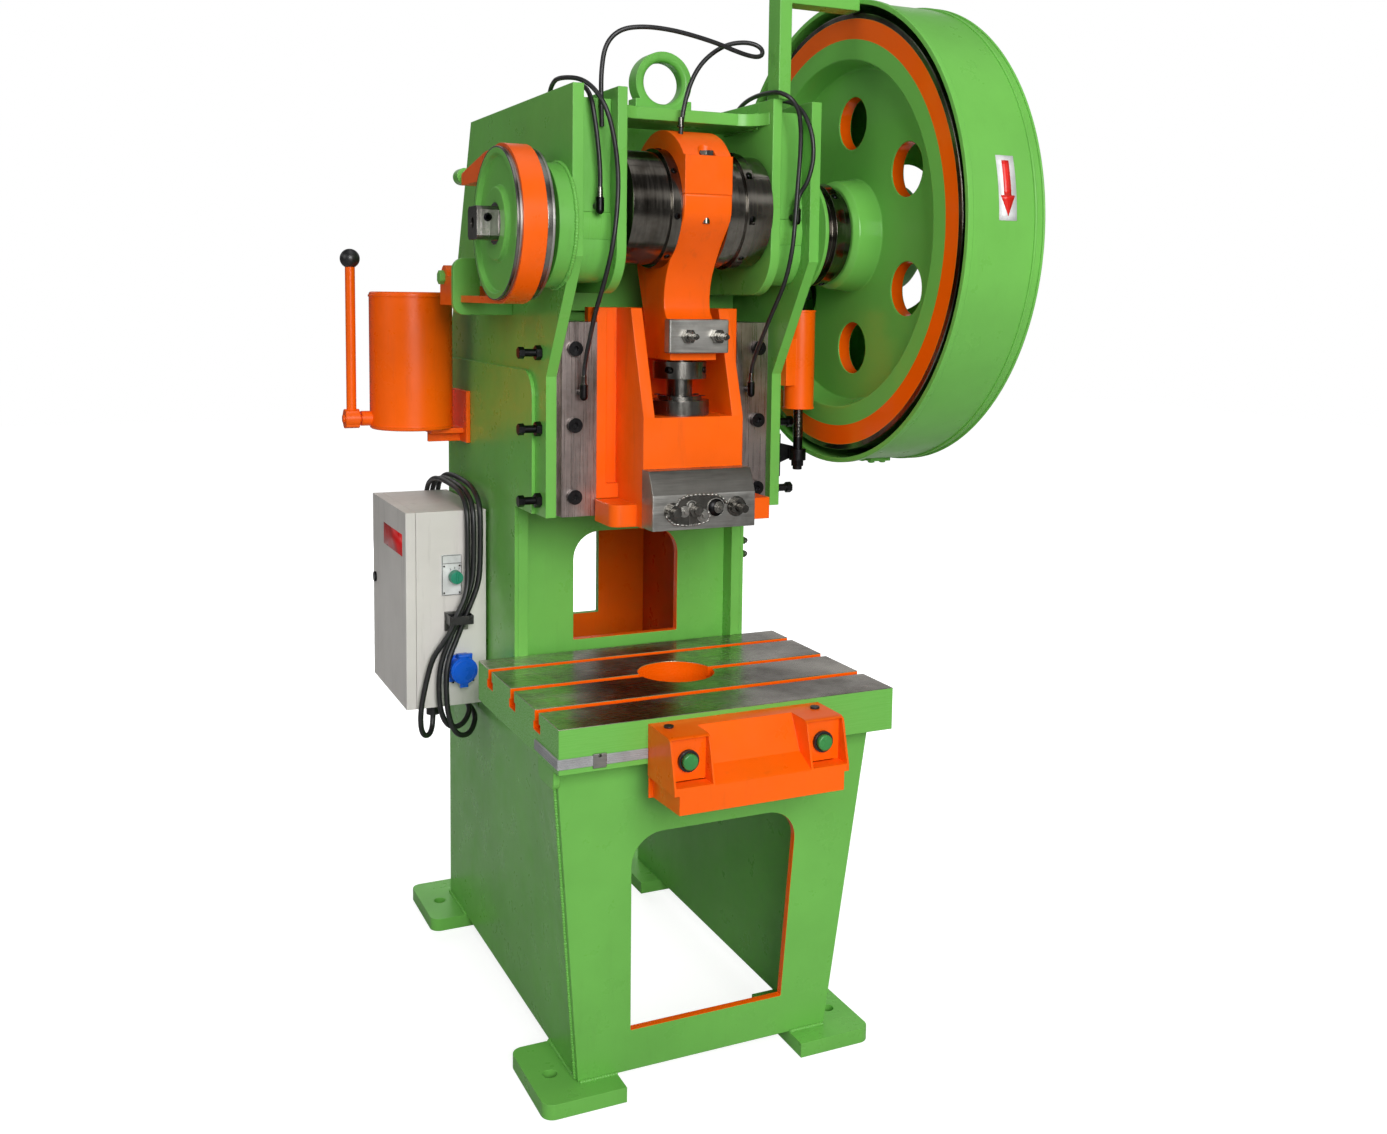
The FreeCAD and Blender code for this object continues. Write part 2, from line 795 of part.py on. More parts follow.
node(group(guideBlock(-1), guideBlock(1)), "guide_blocks")
node(group(gibPlate(-1), gibPlate(1)), "gib_plates")
screws = []
adjusters = []
for side in (-1, 1):
    for z in gibHeights:
        screws.append(capScrew("%d * %s" % (side, gibScrewX), "gibFront", z, "gibThick + screwGrip - 2"))
        low = z + " - 9"
        y = adjusterY
        if side == 1 and z == gibHeights[0]:
            stemStart, stemLength = fromX(side, plateInner, "frameHalf")
            adjusters.append(rod(stemStart, y, low, "boltRadius", stemLength, alongX))
            continue
        stemStart, stemLength = fromX(side, plateInner, "adjusterReach")
        stem = rod(stemStart, y, low, "boltRadius", stemLength, alongX)
        nutStart, nutLength = fromX(side, "frameHalf", "frameHalf + headHeight")
        nut = hexagon(nutStart, y, low, "headRadius", nutLength, alongX)
        capStart, capLength = fromX(side, "adjusterReach - headHeight", "adjusterReach")
        cap = hexagon(capStart, y, low, "headRadius * 0.8", capLength, alongX)
        adjusters.append(join(stem, nut, cap))
node(group(*screws, *adjusters), "gib_bolts")

# Crankshaft, drum and collar
pinHeight = "(axisHeight + throwHalf)"
headHeightAt = "(axisHeight + 2 * throwHalf)"
journalStart = "(shoulderEnd + 2)"
main = rod("-shaftLeftEnd", "axisForward", "axisHeight",
           "journalRadius", "shaftLeftEnd + shaftRightEnd", alongX)
stubs = cut(main, box("-%s" % journalStart, "axisForward - 2 * journalRadius",
                      "axisHeight - 2 * journalRadius",
                      "2 * %s" % journalStart, "4 * journalRadius", "4 * journalRadius"),
            cut(rod("-shaftLeftEnd - 1", "axisForward", "axisHeight", "2 * journalRadius",
                    "shaftLeftEnd - drumFace + drumRecess + 1", alongX),
                rod("-shaftLeftEnd - 2", "axisForward", "axisHeight", "shaftEndRadius",
                    "shaftLeftEnd - drumFace + drumRecess + 4", alongX)))
pin = rod("-%s" % journalStart, "axisForward", pinHeight, "pinRadius", "2 * %s" % journalStart, alongX)
flats = []
for side in (-1, 1):
    flats.append(box("-shaftLeftEnd - 1", "axisForward - 60",
                     "axisHeight + %s" % ("shaftFlat" if side > 0 else "-shaftFlat - 40"),
                     "shaftLeftEnd - drumFace + 1", "120", "40"))
    flats.append(box("-shaftLeftEnd - 1",
                     "axisForward + %s" % ("shaftFlat" if side > 0 else "-shaftFlat - 40"),
                     "axisHeight - 60", "shaftLeftEnd - drumFace + 1", "40", "120"))
centreHole = rod("-shaftLeftEnd - 1", "axisForward", "axisHeight", "shaftFlat / 3", "26", alongX)
node(cut(join(stubs, pin), centreHole, *flats), "crankshaft")

drum = turned([
    ("-drumInner", "journalRadius + runFit"),
    ("-drumInner", "drumRadius"),
    ("-drumFace", "drumRadius"),
    ("-drumFace", "drumRadius - 12"),
    ("-drumFace + drumRecess", "drumRadius - 16"),
    ("-drumFace + drumRecess", "journalRadius + 22"),
    ("-drumFace", "journalRadius + 18"),
    ("-drumFace", "shaftEndRadius + runFit"),
    ("-drumFace + drumRecess", "shaftEndRadius + runFit"),
    ("-drumFace + drumRecess", "journalRadius + runFit"),
])
node(drum, "brake_drum")

collarStart = "(flywheelFace - 18 - collarWidth)"
collar = turned([
    (collarStart, "journalRadius + runFit"),
    (collarStart, "clutchCollarRadius - 16"),
    (collarStart + " + 14", "clutchCollarRadius - 16"),
    (collarStart + " + 14", "clutchCollarRadius"),
    (collarStart + " + 36", "clutchCollarRadius"),
    (collarStart + " + 36", "clutchCollarRadius - 8"),
    (collarStart + " + collarWidth", "clutchCollarRadius - 8"),
    (collarStart + " + collarWidth", "journalRadius + runFit"),
])
node(collar, "clutch_collar")

# Eccentric sleeve
halfRod = "(rodWidth / 2)"
sleeveSection = [
    ("-shoulderEnd", "pinRadius - throwHalf - 10"),
    ("-shoulderEnd", "shoulderRadius"),
    ("-%s - ringThick - softGap" % halfRod, "shoulderRadius"),
    ("-%s - ringThick - softGap" % halfRod, "sleeveRadius"),
    ("%s + ringThick + softGap" % halfRod, "sleeveRadius"),
    ("%s + ringThick + softGap" % halfRod, "shoulderRadius"),
    ("shoulderEnd", "shoulderRadius"),
    ("shoulderEnd", "pinRadius - throwHalf - 10"),
]
sleeveBlank = turned(sleeveSection, z=headHeightAt)
sleeveCore = rod("-shoulderEnd - 1", "axisForward", headHeightAt, "pinRadius - throwHalf - 9",
                 "2 * shoulderEnd + 2", alongX)
sleeveBore = rod("-shoulderEnd - 1", "axisForward", pinHeight, "pinRadius + runFit",
                 "2 * shoulderEnd + 2", alongX)
sleeve = cut(sleeveBlank, sleeveCore, sleeveBore)
rings = []
for side in (-1, 1):
    start, long = fromX(side, halfRod + " + softGap", halfRod + " + ringThick")
    ring = rod(start, "axisForward", headHeightAt, "ringRadius", long, alongX)
    rings.append(cut(ring, rod("-shoulderEnd", "axisForward", headHeightAt, "sleeveRadius + runFit",
                               "2 * shoulderEnd", alongX)))
start, long = fromX(1, halfRod + " + 2 * ringThick", halfRod + " + 3 * ringThick")
ring = rod(start, "axisForward", headHeightAt, "ringRadius", long, alongX)
drill = []
for step in range(8):
    angle = "(%d * 45 + 12)" % step
    drill.append(rod("0", "axisForward + (ringRadius + 4) * cos(%s)" % angle,
                     "%s + (ringRadius + 4) * sin(%s)" % (headHeightAt, angle), "8",
                     "1", alongX))
for item in drill:
    bind(item, "Height", "ringThick * 0.6")
    bind(item, "Placement.Base.x", halfRod + " + 2.2 * ringThick")
rings.append(cut(ring, rod("-shoulderEnd", "axisForward", headHeightAt, "shoulderRadius + runFit",
                           "2 * shoulderEnd", alongX), *drill))
node(group(sleeve, *rings), "eccentric_sleeve")

# Connecting rod
splitHeight = "(%s + 23)" % headHeightAt
headDisc = rod("-" + halfRod, "axisForward", headHeightAt, "rodHeadRadius", "rodWidth", alongX)
headBlock = box("-" + halfRod, "axisForward - rodLugFront", headHeightAt + " - 46", "rodWidth",
                "2 * rodLugFront", "46 + rodLugTop")
headTrim = box("-%s - 1" % halfRod, "axisForward - rodLugFront", headHeightAt + " - 2 * rodHeadRadius",
               "rodWidth + 2", "2 * rodLugFront", "4 * rodHeadRadius")
headWhole = doc.addObject("Part::Common", "Trimmed")
headWhole.Base = join(headDisc, headBlock)
headWhole.Tool = headTrim
neck = prism("YZ", [
    ("axisForward - shankDepth / 2", "rodFootTop - 4"),
    ("axisForward + shankDepth / 2", "rodFootTop - 4"),
    ("axisForward + shankDepth / 2", headHeightAt + " - rodHeadRadius + kneeDrop"),
    ("axisForward + rodLugFront - kneeInset", headHeightAt + " - kneeRise"),
    ("axisForward - rodLugFront + kneeInset", headHeightAt + " - kneeRise"),
    ("axisForward - shankDepth / 2", headHeightAt + " - rodHeadRadius + kneeDrop"),
], "-" + halfRod, "rodWidth")
kneeLow = worth(headHeightAt + " - rodHeadRadius + kneeDrop")
soften(neck, "shankDepth * 0.6", along("x", lambda p: abs(p.z - kneeLow) < 1))
footFront = "(axisForward - rodFootDepth / 2 - 1)"
foot = box("-clampPlateWidth / 2", footFront, "rodFootLow", "clampPlateWidth", "rodFootDepth",
           "rodFootTop - rodFootLow")
rodBore = rod("-%s - 1" % halfRod, "axisForward", headHeightAt,
              "sleeveRadius + runFit", "rodWidth + 2", alongX)
upper = box("-100", "axisForward - 300", splitHeight, "200", "600", "400")
lower = box("-100", "axisForward - 300", splitHeight + " - 500", "200", "600", "500")
screwHole = rod("0", "axisForward", "rodFootLow - 1", "screwRadius + runFit",
                "(rodFootTop - rodFootLow) * 0.8 + 1")
capBoltY = ["(axisForward - sleeveRadius - (rodLugFront - sleeveRadius) / 2)",
            "(axisForward + sleeveRadius + (rodLugFront - sleeveRadius) / 2)"]
lugTopAt = "(%s + rodLugTop)" % headHeightAt
capBoltHoles = []
spotFaces = []
capBolts = []
for y in capBoltY:
    capBoltHoles.append(rod("0", y, splitHeight + " - 60", "boltRadius + boltClear", "rodLugTop + 70"))
    spotFaces.append(rod("0", y, lugTopAt, "headRadius + 2", "rodHeadRadius"))
    capBolts.append(boltAlong("z", "0", y, lugTopAt, lugTopAt + " - " + splitHeight + " + 55",
                              high="headHeight * 0.8"))
rodLower = cut(join(headWhole, neck, foot), rodBore, upper, screwHole, *capBoltHoles)
node(rodLower, "connecting_rod")
oilHole = rod("-rodOilSide", "axisForward - rodOilForward", headHeightAt,
              "hoseRadius + softGap", "rodHeadRadius")
rodUpper = cut(headWhole, rodBore, lower, oilHole, *capBoltHoles, *spotFaces)
node(rodUpper, "rod_cap")

plateFront = "(%s - clampPlateThick)" % footFront
clampPlate = box("-clampPlateWidth / 2", plateFront, "clampPlateHeightAt - clampPlateHeight / 2",
                 "clampPlateWidth", "clampPlateThick", "clampPlateHeight")
clampPlate = rounded(clampPlate, "clampPlateThick / 8", lambda e: True)
studX = ["(clampPlateWidth * 0.29)", "(-clampPlateWidth * 0.2)"]
studHoles = []
studs = []
for x in studX:
    studHoles.append(rod(x, plateFront + " - 1", "clampPlateHeightAt", "boltRadius + boltClear",
                         "clampPlateThick + 2", alongY))
    stem = rod(x, plateFront + " - headHeight * 1.9", "clampPlateHeightAt", "boltRadius",
               "clampPlateThick + headHeight * 1.9", alongY)
    nut = hexagon(x, plateFront + " - headHeight", "clampPlateHeightAt", "headRadius", "headHeight", alongY)
    studs.append(join(stem, nut))
node(cut(clampPlate, *studHoles), "clamp_plate")
node(group(*capBolts, *studs), "rod_fasteners")

seatTop = "(slideFloor + seatThick)"
screw = rod("0", "axisForward", seatTop + " - 22", "screwRadius",
            "rodFootLow + (rodFootTop - rodFootLow) * 0.75 - %s + 22" % seatTop)
screwCollar = rod("0", "axisForward", "collarLow", "collarRadius", "collarHigh - collarLow")
barHoles = []
for step in range(4):
    spin = Rotation(Vector(0, 0, 1), 45 + 90 * step).multiply(alongX)
    hole = rod("0", "axisForward", "(collarLow + collarHigh) / 2", "7", "2 * collarRadius", spin)
    inner = rod("0", "axisForward", "collarLow - 1", "collarRadius - 16", "collarHigh - collarLow + 2")
    barHoles.append(cut(hole, inner))
node(cut(join(screw, screwCollar), *barHoles), "adjusting_screw")
seat = rod("0", "axisForward", "slideFloor", "seatRadius", "seatThick")
seatStep = rod("0", "axisForward", "slideFloor", "seatRadius * 0.75", "seatThick + 8")
seatBore = rod("0", "axisForward", "slideFloor + seatThick - 22", "screwRadius + runFit", "60")
node(cut(join(seat, seatStep), seatBore), "ball_seat_flange")

# Slide
slideBlock = prism("YZ", [
    ("slideFront", "slideLow"),
    ("slideBack", "slideLow"),
    ("slideBack", "slideTop"),
    ("ribFrontHigh", "slideTop"),
    ("slideFront", "slideFloor"),
], "-slideHalf", "2 * slideHalf")
hollow = box("-slideHalf + ribThick", "slideFront - 1", "slideFloor", "2 * (slideHalf - ribThick)",
             "slideBack - slideBackWall - slideFront + 1", "slideTop - slideFloor + 1")
wings = box("-wingHalf", "wingFront", "wingLow",
            "2 * wingHalf", "wingBack - wingFront", "slideTop - wingLow")
shankBore = rod("0", "axisForward", "slideLow - 1", "shankHoleRadius", "slideFloor - slideLow - 60")
slideCuts = [hollow, shankBore]
for side in (-1, 1):
    start, wide = fromX(side, "slideHalf", "wingHalf - wingBar")
    slideCuts.append(box(start, "wingFront - 1", "wingLow + 30",
                         wide, "grooveDepth + 1", "slideTop - wingLow"))
    groove = [
        ("wingHalf + 1", "ridgeForward - %s - 1" % ridgeHalf),
        ("wingHalf + 1", "ridgeForward + %s + 1" % ridgeHalf),
        ("wingHalf - grooveDepth", "ridgeForward"),
    ]
    slideCuts.append(prism("XY", [("%d * (%s)" % (side, a), b) for a, b in groove],
                           "wingLow - 1", "slideTop - wingLow + 2"))
flangeBack = "(gibFront - 3)"
flange = box("-flangeLeft", "flangeFront", "slideLow", "flangeLeft + flangeRight",
             flangeBack + " - flangeFront", "baseFlangeThick")
flange = rounded(flange, "baseFlangeThick / 2",
                 lambda e: runs("z")(e) and middle(e).y < worth("flangeFront") + 1 and middle(e).x < 0)
studSpots = [
    ("-toolClampHalf * 0.62", "0.32"),
    ("toolClampHalf * 0.62", "0.36"),
    ("-toolClampHalf * 0.2", "0.34"),
]
clampZ = "(slideLow + 3)"
for x, share in studSpots:
    slideCuts.append(rod(x, "slideFront - 1", "%s + (toolClampTop - %s) * %s" % (clampZ, clampZ, share),
                         "boltRadius + boltClear", "24", alongY))
node(cut(join(slideBlock, wings, flange), *slideCuts), "slide")

toolClamp = prism("YZ", [
    ("slideFront - toolClampThick", clampZ),
    ("slideFront", clampZ),
    ("slideFront", "toolClampTop"),
    ("slideFront - toolClampThick + toolClampChamfer", "toolClampTop"),
    ("slideFront - toolClampThick", "toolClampCrease"),
], "-toolClampHalf", "2 * toolClampHalf")
clampHoles = []
clampStuds = []
clampFront = "(slideFront - toolClampThick)"
for x, share in studSpots:
    z = "%s + (toolClampTop - %s) * %s" % (clampZ, clampZ, share)
    clampHoles.append(rod(x, clampFront + " - 1", z, "boltRadius + boltClear", "toolClampThick + 2", alongY))
    reach = "headHeight * 3.4" if x.startswith("toolClampHalf") else "headHeight * 1.8"
    stem = rod(x, "%s - %s" % (clampFront, reach), z,
               "boltRadius", "toolClampThick + 20 + %s" % reach, alongY)
    nut = hexagon(x, clampFront + " - headHeight", z, "headRadius", "headHeight", alongY)
    clampStuds.append(join(stem, nut))
node(cut(toolClamp, *clampHoles), "tool_clamp")
node(group(*clampStuds), "tool_clamp_studs")

# Flywheel and its guard
webEnd = "(webFace + webThick)"
rimStart = "flywheelFace"
rimEnd = "(flywheelFace + flywheelWidth)"
wheel = turned([
    ("hubFace", "journalRadius + runFit"),
    ("hubFace", "hubRadius - 10"),
    ("hubFace + 10", "hubRadius"),
    ("webFace", "hubRadius + 6"),
    ("webFace", "rimInner"),
    (rimStart, "rimInner + 14"),
    (rimStart, "flywheelRadius"),
    (rimEnd, "flywheelRadius"),
    (rimEnd, "rimInner + 14"),
    (webEnd, "rimInner"),
    (webEnd, "hubRadius + 6"),
    ("hubEnd - 10", "hubRadius"),
    ("hubEnd", "hubRadius - 10"),
    ("hubEnd", "journalRadius + runFit"),
])
windows = []
for step in range(6):
    angle = "(%d * 60 + 28)" % step
    windows.append(rod("webFace - 20", "axisForward + webHolePitch * cos(%s)" % angle,
                       "axisHeight + webHolePitch * sin(%s)" % angle,
                       "webHoleRadius", "webThick + 40", alongX))
node(cut(wheel, *windows), "flywheel")

guard = turned([
    ("guardStart", "guardRadius - guardWall"),
    ("guardStart", "guardRadius + guardBead"),
    ("guardStart + 2 * guardBead", "guardRadius + guardBead"),
    ("guardStart + 2 * guardBead", "guardRadius"),
    ("guardEnd", "guardRadius"),
    ("guardEnd", "guardOpening"),
    ("guardEnd - guardWall", "guardOpening"),
    ("guardEnd - guardWall", "guardRadius - guardWall"),
])
node(guard, "flywheel_guard")

armX = "(cheekInner + 11)"
armTop = "(axisHeight + guardRadius)"
armRise = box(armX, "cheekFront", "headTop", "armWidth", "armDepth", "%s - headTop" % armTop)
armBar = box(armX, "cheekFront", armTop + " - armWidth", "guardStart - %s" % armX, "armDepth", "armWidth")
node(join(armRise, armBar), "guard_arm")

# Brake band and its bracket
bandInner = "(drumRadius + softGap)"
bandRim = "(%s + bandThick)" % bandInner
bandStart = "-bandOuter"
bandRing = rod(bandStart, "axisForward", "axisHeight", bandRim, "bandWidth", alongX)
upperTail = box(bandStart, "axisForward + drumRadius * 0.35", "axisHeight + drumRadius * 0.62", "bandWidth",
                "bandUpperReach", "drumRadius * 0.38")
upperTrim = prism("YZ", [
    ("axisForward + drumRadius * 0.3", "axisHeight + drumRadius * 1.06"),
    ("axisForward + drumRadius * 0.3 + bandUpperReach + 30", "axisHeight + drumRadius * 0.76"),
    ("axisForward + drumRadius * 0.3 + bandUpperReach + 30", "axisHeight + drumRadius * 1.6"),
    ("axisForward + drumRadius * 0.3", "axisHeight + drumRadius * 1.6"),
], bandStart + " - 1", "bandWidth + 2")
lowerTail = box(bandStart, "axisForward", "axisHeight - " + bandRim, "bandWidth",
                "brakePlateForward - axisForward", "bandThick * 2")
bandBore = rod(bandStart + " - 1", "axisForward", "axisHeight", bandInner, "bandWidth + 2", alongX)
bandGap = box(bandStart + " - 1", "axisForward + drumRadius * 0.6", "axisHeight - drumRadius * 0.62",
              "bandWidth + 2", "drumRadius", "drumRadius * 1.2")
bandMiddle = "(bandWidth / 2 - bandOuter)"
bandHole = rod(bandMiddle, "brakePlateForward - 120", "tensionHeight",
               "boltRadius + boltClear", "200", alongY)
band = cut(join(bandRing, cut(upperTail, upperTrim), lowerTail), bandBore, bandGap, bandHole)

plateBack = "(brakePlateForward + brakePlateThick)"
bracket = prism("XZ", [
    ("-brakePlateOuter", "brakeShelfLow"),
    ("-brakePlateOuter", "brakePlateTop"),
    ("-brakePlateInner", "brakePlateTop"),
    ("-brakePlateInner", "brakeShelfLow + 31"),
    ("-frameHalf", "brakeShelfLow + 31"),
    ("-frameHalf", "brakeShelfLow"),
], "brakePlateForward + softGap", "brakePlateThick - softGap")
outerEdge = worth("-brakePlateOuter")
soften(bracket, "(brakePlateOuter - brakePlateInner) * 0.42", along("y", lambda p: abs(p.x - outerEdge) < 1))
node(bracket, "brake_bracket")
lugSpan = "(bandWidth * 0.8)"
lug = box("-bandOuter", plateBack, "brakeShelfLow + 19", lugSpan, "150", "62")
lugTop = rod("-bandOuter", plateBack + " + 118", "brakeShelfLow + 78", "26", lugSpan, alongX)
lugPin = rod("-bandOuter - 1", plateBack + " + 118", "brakeShelfLow + 78", "boltRadius + boltClear",
             "bandWidth + 2", alongX)
lugFoot = box("-bandOuter", plateBack + " + 20", "brakeShelfLow + 30", "bandOuter - frameHalf", "30", "30")
node(group(band, cut(join(lug, lugTop, lugFoot), lugPin)), "brake_band")
tension = rod(bandMiddle, "brakePlateForward - 116", "tensionHeight", "boltRadius", "196", alongY)
tensionHead = rod(bandMiddle, "brakePlateForward + 45", "tensionHeight", "headRadius + 2", "34", alongY)
tensionNut = hexagon(bandMiddle, "axisForward + drumRadius * 0.35 + bandUpperReach", "tensionHeight",
                     "headRadius", "headHeight", alongY)
lugStem = rod("-bandOuter - headHeight", plateBack + " + 118", "brakeShelfLow + 78", "boltRadius",
              "bandWidth * 0.8 + headHeight", alongX)
lugNut = hexagon("-bandOuter - headHeight", plateBack + " + 118", "brakeShelfLow + 78", "headRadius",
                 "headHeight", alongX)
node(group(join(tension, tensionHead, tensionNut), join(lugStem, lugNut)), "brake_bolts")

# Oil tank and pump lever
tank = rod("-tankLeft", "tankBack", "tankLow", "tankRadius", "tankHigh - tankLow")
tank = rounded(tank, "6", lambda e: e.Curve.TypeId == "Part::GeomCircle")
pumpBoss = rod("-tankLeft - tankRadius - 22", "tankBack", "pumpHeight", "17", "60", alongX)
pivotPin = rod("-leverLeft - 20", "tankBack", "pumpHeight",
               "leverPinRadius", "leverLeft + 20 - tankLeft", alongX)
oilSpace = rod("-tankLeft", "tankBack", "tankLow + tankWall", "tankRadius - tankWall",
               "tankHigh - tankLow - 2 * tankWall")
pumpSide = cut(join(pumpBoss, pivotPin), rod("-tankLeft", "tankBack", "tankLow", "tankRadius - tankWall",
                                             "tankHigh - tankLow"))
node(join(cut(tank, oilSpace), pumpSide), "oil_tank")
bracketPlate = box("-%s - tankPlateThick" % claddingOuter, "tankBack - 60", "tankLow - 33",
                   "tankPlateThick", "120", "120")
bracketArm = box("-tankLeft + tankRadius * 0.4", "tankBack - 35", "tankLow - 12",
                 "tankLeft - tankRadius * 0.4 - " + claddingOuter, "70", "12")
bracketWeb = box("-tankLeft + tankRadius * 0.4", "tankBack - 5", "tankLow - 33",
                 "tankLeft - tankRadius * 0.4 - " + claddingOuter, "10", "30")
node(join(bracketPlate, bracketArm, bracketWeb), "tank_bracket")
leverEye = rod("-leverLeft - 16", "tankBack", "pumpHeight", "22", "32", alongX)
leverStem = rod("-leverLeft", "tankBack", "pumpHeight", "leverRadius", "leverTop - pumpHeight + 10")
leverPin = rod("-leverLeft - 16", "tankBack", "pumpHeight", "leverPinRadius + runFit", "32", alongX)
node(cut(join(leverEye, leverStem), leverPin), "pump_lever")
leverBall = cut(ball("-leverLeft", "tankBack", "leverTop + ballRadius * 0.8", "ballRadius"),
                rod("-leverLeft", "tankBack", "pumpHeight", "leverRadius", "leverTop - pumpHeight + 10"))
node(leverBall, "lever_ball")

# Electric box
boxInner = claddingOuter
boxOuter = "(%s + boxWidth + 5)" % boxInner
shellBack = "(boxFront + boxDepth)"
shell = box("-" + boxOuter, "boxFront", "boxLow", "boxWidth", "boxDepth", "boxHigh - boxLow")
shellHollow = box("-%s - 1" % boxOuter, "boxFront + wallThick", "boxLow + wallThick",
                  "boxWidth - wallThick + 1", "boxDepth - 2 * wallThick", "boxHigh - boxLow - 2 * wallThick")
mountStrips = [box("-%s - 5" % boxInner, "boxFront + 30", z, "5", "boxDepth - 60", "24")
               for z in ("boxLow + 40", "boxHigh - 64")]
glandX = "(-%s + 46)" % boxOuter
glandHole = rod(glandX, "boxFront + 40", "boxLow - 1", "11", "wallThick + 2")
node(cut(join(shell, *mountStrips), shellHollow, glandHole), "electric_box")
doorOuter = "(%s + doorGap + doorThick)" % boxOuter
door = box("-" + doorOuter, "boxFront", "boxLow", "doorThick", "boxDepth", "boxHigh - boxLow")
doorHollow = box("-%s + wallThick" % doorOuter, "boxFront + wallThick", "boxLow + wallThick",
                 "doorThick", "boxDepth - 2 * wallThick", "boxHigh - boxLow - 2 * wallThick")
lockY = "(%s - 26)" % shellBack
lockZ = "(boxLow + (boxHigh - boxLow) * 0.55)"
lockHole = rod("-%s - 1" % doorOuter, lockY, lockZ, "lockRadius + runFit", "wallThick + 2", alongX)
hingeX = -worth(doorOuter)
hingeY = worth("boxFront")
doorShell = rounded(cut(door, doorHollow, lockHole), "doorCorner",
                    along("z", lambda p: p.x < hingeX + 1 and p.y < hingeY + 1))
node(doorShell, "box_door")
lockBody = rod("-%s - 5" % doorOuter, lockY, lockZ, "lockRadius + 3", "5", alongX)
lockBarrel = rod("-" + doorOuter, lockY, lockZ, "lockRadius", "16", alongX)
lockTongue = box("-%s + 16" % doorOuter, lockY + " - 6", lockZ + " - 6", "2", "12", "34")
lockSlot = box("-%s - 6" % doorOuter, lockY + " - 1.5", lockZ + " - 7", "5", "3", "14")
node(cut(join(lockBody, lockBarrel, lockTongue), lockSlot), "door_lock")

plateLeft = "(-%s + 56)" % boxOuter
switchPlate = box(plateLeft, "boxFront - 2", "switchLow", "45", "2", "91")
switchBoss = rod(plateLeft + " + 29", "boxFront - 6", "switchLow + 42", "12", "4", alongY)
switchHole = rod(plateLeft + " + 29", "boxFront - 7", "switchLow + 42", "switchStem + runFit", "20", alongY)
node(cut(join(switchPlate, switchBoss), switchHole), "switch_plate")
knobBody = cone(plateLeft + " + 29", "boxFront - 6 - softGap - knobLong", "switchLow + 42", "knobRadius - 1",
                "knobRadius", "knobLong", alongY)
knobStem = rod(plateLeft + " + 29", "boxFront - 8", "switchLow + 42", "switchStem", "8", alongY)
node(join(knobBody, knobStem), "switch_knob")

socketX = "(-%s + 98)" % boxOuter
socketBody = rod(socketX, "boxFront - 26", "socketHeight", "27", "26", alongY)
socketPad = box(socketX + " - 26", "boxFront - 8", "socketHeight - 30", "52", "8", "60")
socketHinge = box(socketX + " - 12", "boxFront - 24", "socketHeight + 25", "24", "16", "9")
socketMouth = rod(socketX, "boxFront - 27", "socketHeight", "19", "19", alongY)
node(cut(join(socketBody, socketPad, socketHinge), socketMouth), "power_socket")
lidFace = rod(socketX, "boxFront - 36", "socketHeight", "30", "10 - softGap", alongY)
lidLug = rod(socketX + " - 12", "boxFront - 36 + lidPinRadius", "socketHeight + 32",
             "lidPinRadius", "24", alongX)
lidTab = box(socketX + " - 9", "boxFront - 34", "socketHeight - 38", "18", "6", "12")
node(join(lidFace, lidLug, lidTab), "socket_lid")

gland = rod(glandX, "boxFront + 40", "boxLow - 26", "15", "26")
glandStem = rod(glandX, "boxFront + 40", "boxLow - 1", "11 - boltClear", "wallThick + 12")
glandBore = rod(glandX, "boxFront + 40", "boxLow - 27", "cableRadius + boltClear", "60")
glandPiece = cut(join(gland, glandStem), glandBore)

# Control box on the bolster front
boxProfile = [
    ("bolsterFront", "controlLow"),
    ("bolsterFront - controlDepth - 2", "controlLow + 6"),
    ("bolsterFront - controlDepth - 2", "controlSill"),
    ("bolsterFront - 74", "controlSill + 22"),
    ("bolsterFront - 40", "controlHigh"),
    ("bolsterFront", "controlHigh"),
]
controlBody = prism("YZ", boxProfile, "-controlHalf", "2 * controlHalf")
controlFlange = box("-controlHalf - 9", "bolsterFront - controlWall", "controlLow", "2 * controlHalf + 18",
                    "controlWall", "controlHigh - controlLow")
hoods = []
hoodCuts = []
hoodFace = "(bolsterFront - 86)"
for side in (-1, 1):
    start, wide = fromX(side, "palmSide - hoodWidth / 2", "palmSide + hoodWidth / 2")
    hoods.append(prism("YZ", [
        ("bolsterFront", "controlSill - 12"),
        ("bolsterFront - controlDepth - 2", "controlSill - 12"),
        ("bolsterFront - controlDepth - 2", "controlSill"),
        ("bolsterFront - controlDepth + 20", "controlHigh - 5"),
        ("bolsterFront - controlDepth + 30", "controlHigh"),
        ("bolsterFront", "controlHigh"),
    ], start, wide))
    start, wide = fromX(side, "palmSide - hoodWidth / 2 + controlWall",
                        "palmSide + hoodWidth / 2 - controlWall")
    hoodCuts.append(box(start, "bolsterFront - controlDepth - 60", "controlSill + 2", wide,
                        "controlDepth + 60 - 86", "controlHigh - controlSill - controlWall - 2"))
    hoodCuts.append(rod("%d * palmSide" % side, hoodFace + " - 1", "palmHeight",
                        "palmStem + runFit", "42", alongY))
wiringSpace = prism("YZ", [
    ("bolsterFront + 1", "controlLow + controlWall"),
    ("bolsterFront - controlDepth - 2 + controlWall", "controlLow + 6 + controlWall"),
    ("bolsterFront - controlDepth - 2 + controlWall", "controlSill - 12 - controlWall"),
    ("bolsterFront - 74", "controlSill + 10"),
    ("bolsterFront - 40", "controlHigh - 10"),
    ("bolsterFront + 1", "controlHigh - 10"),
], "-controlHalf + controlWall", "2 * (controlHalf - controlWall)")
node(cut(join(controlBody, controlFlange, *hoods), *hoodCuts, wiringSpace), "control_box")
blackRings = []
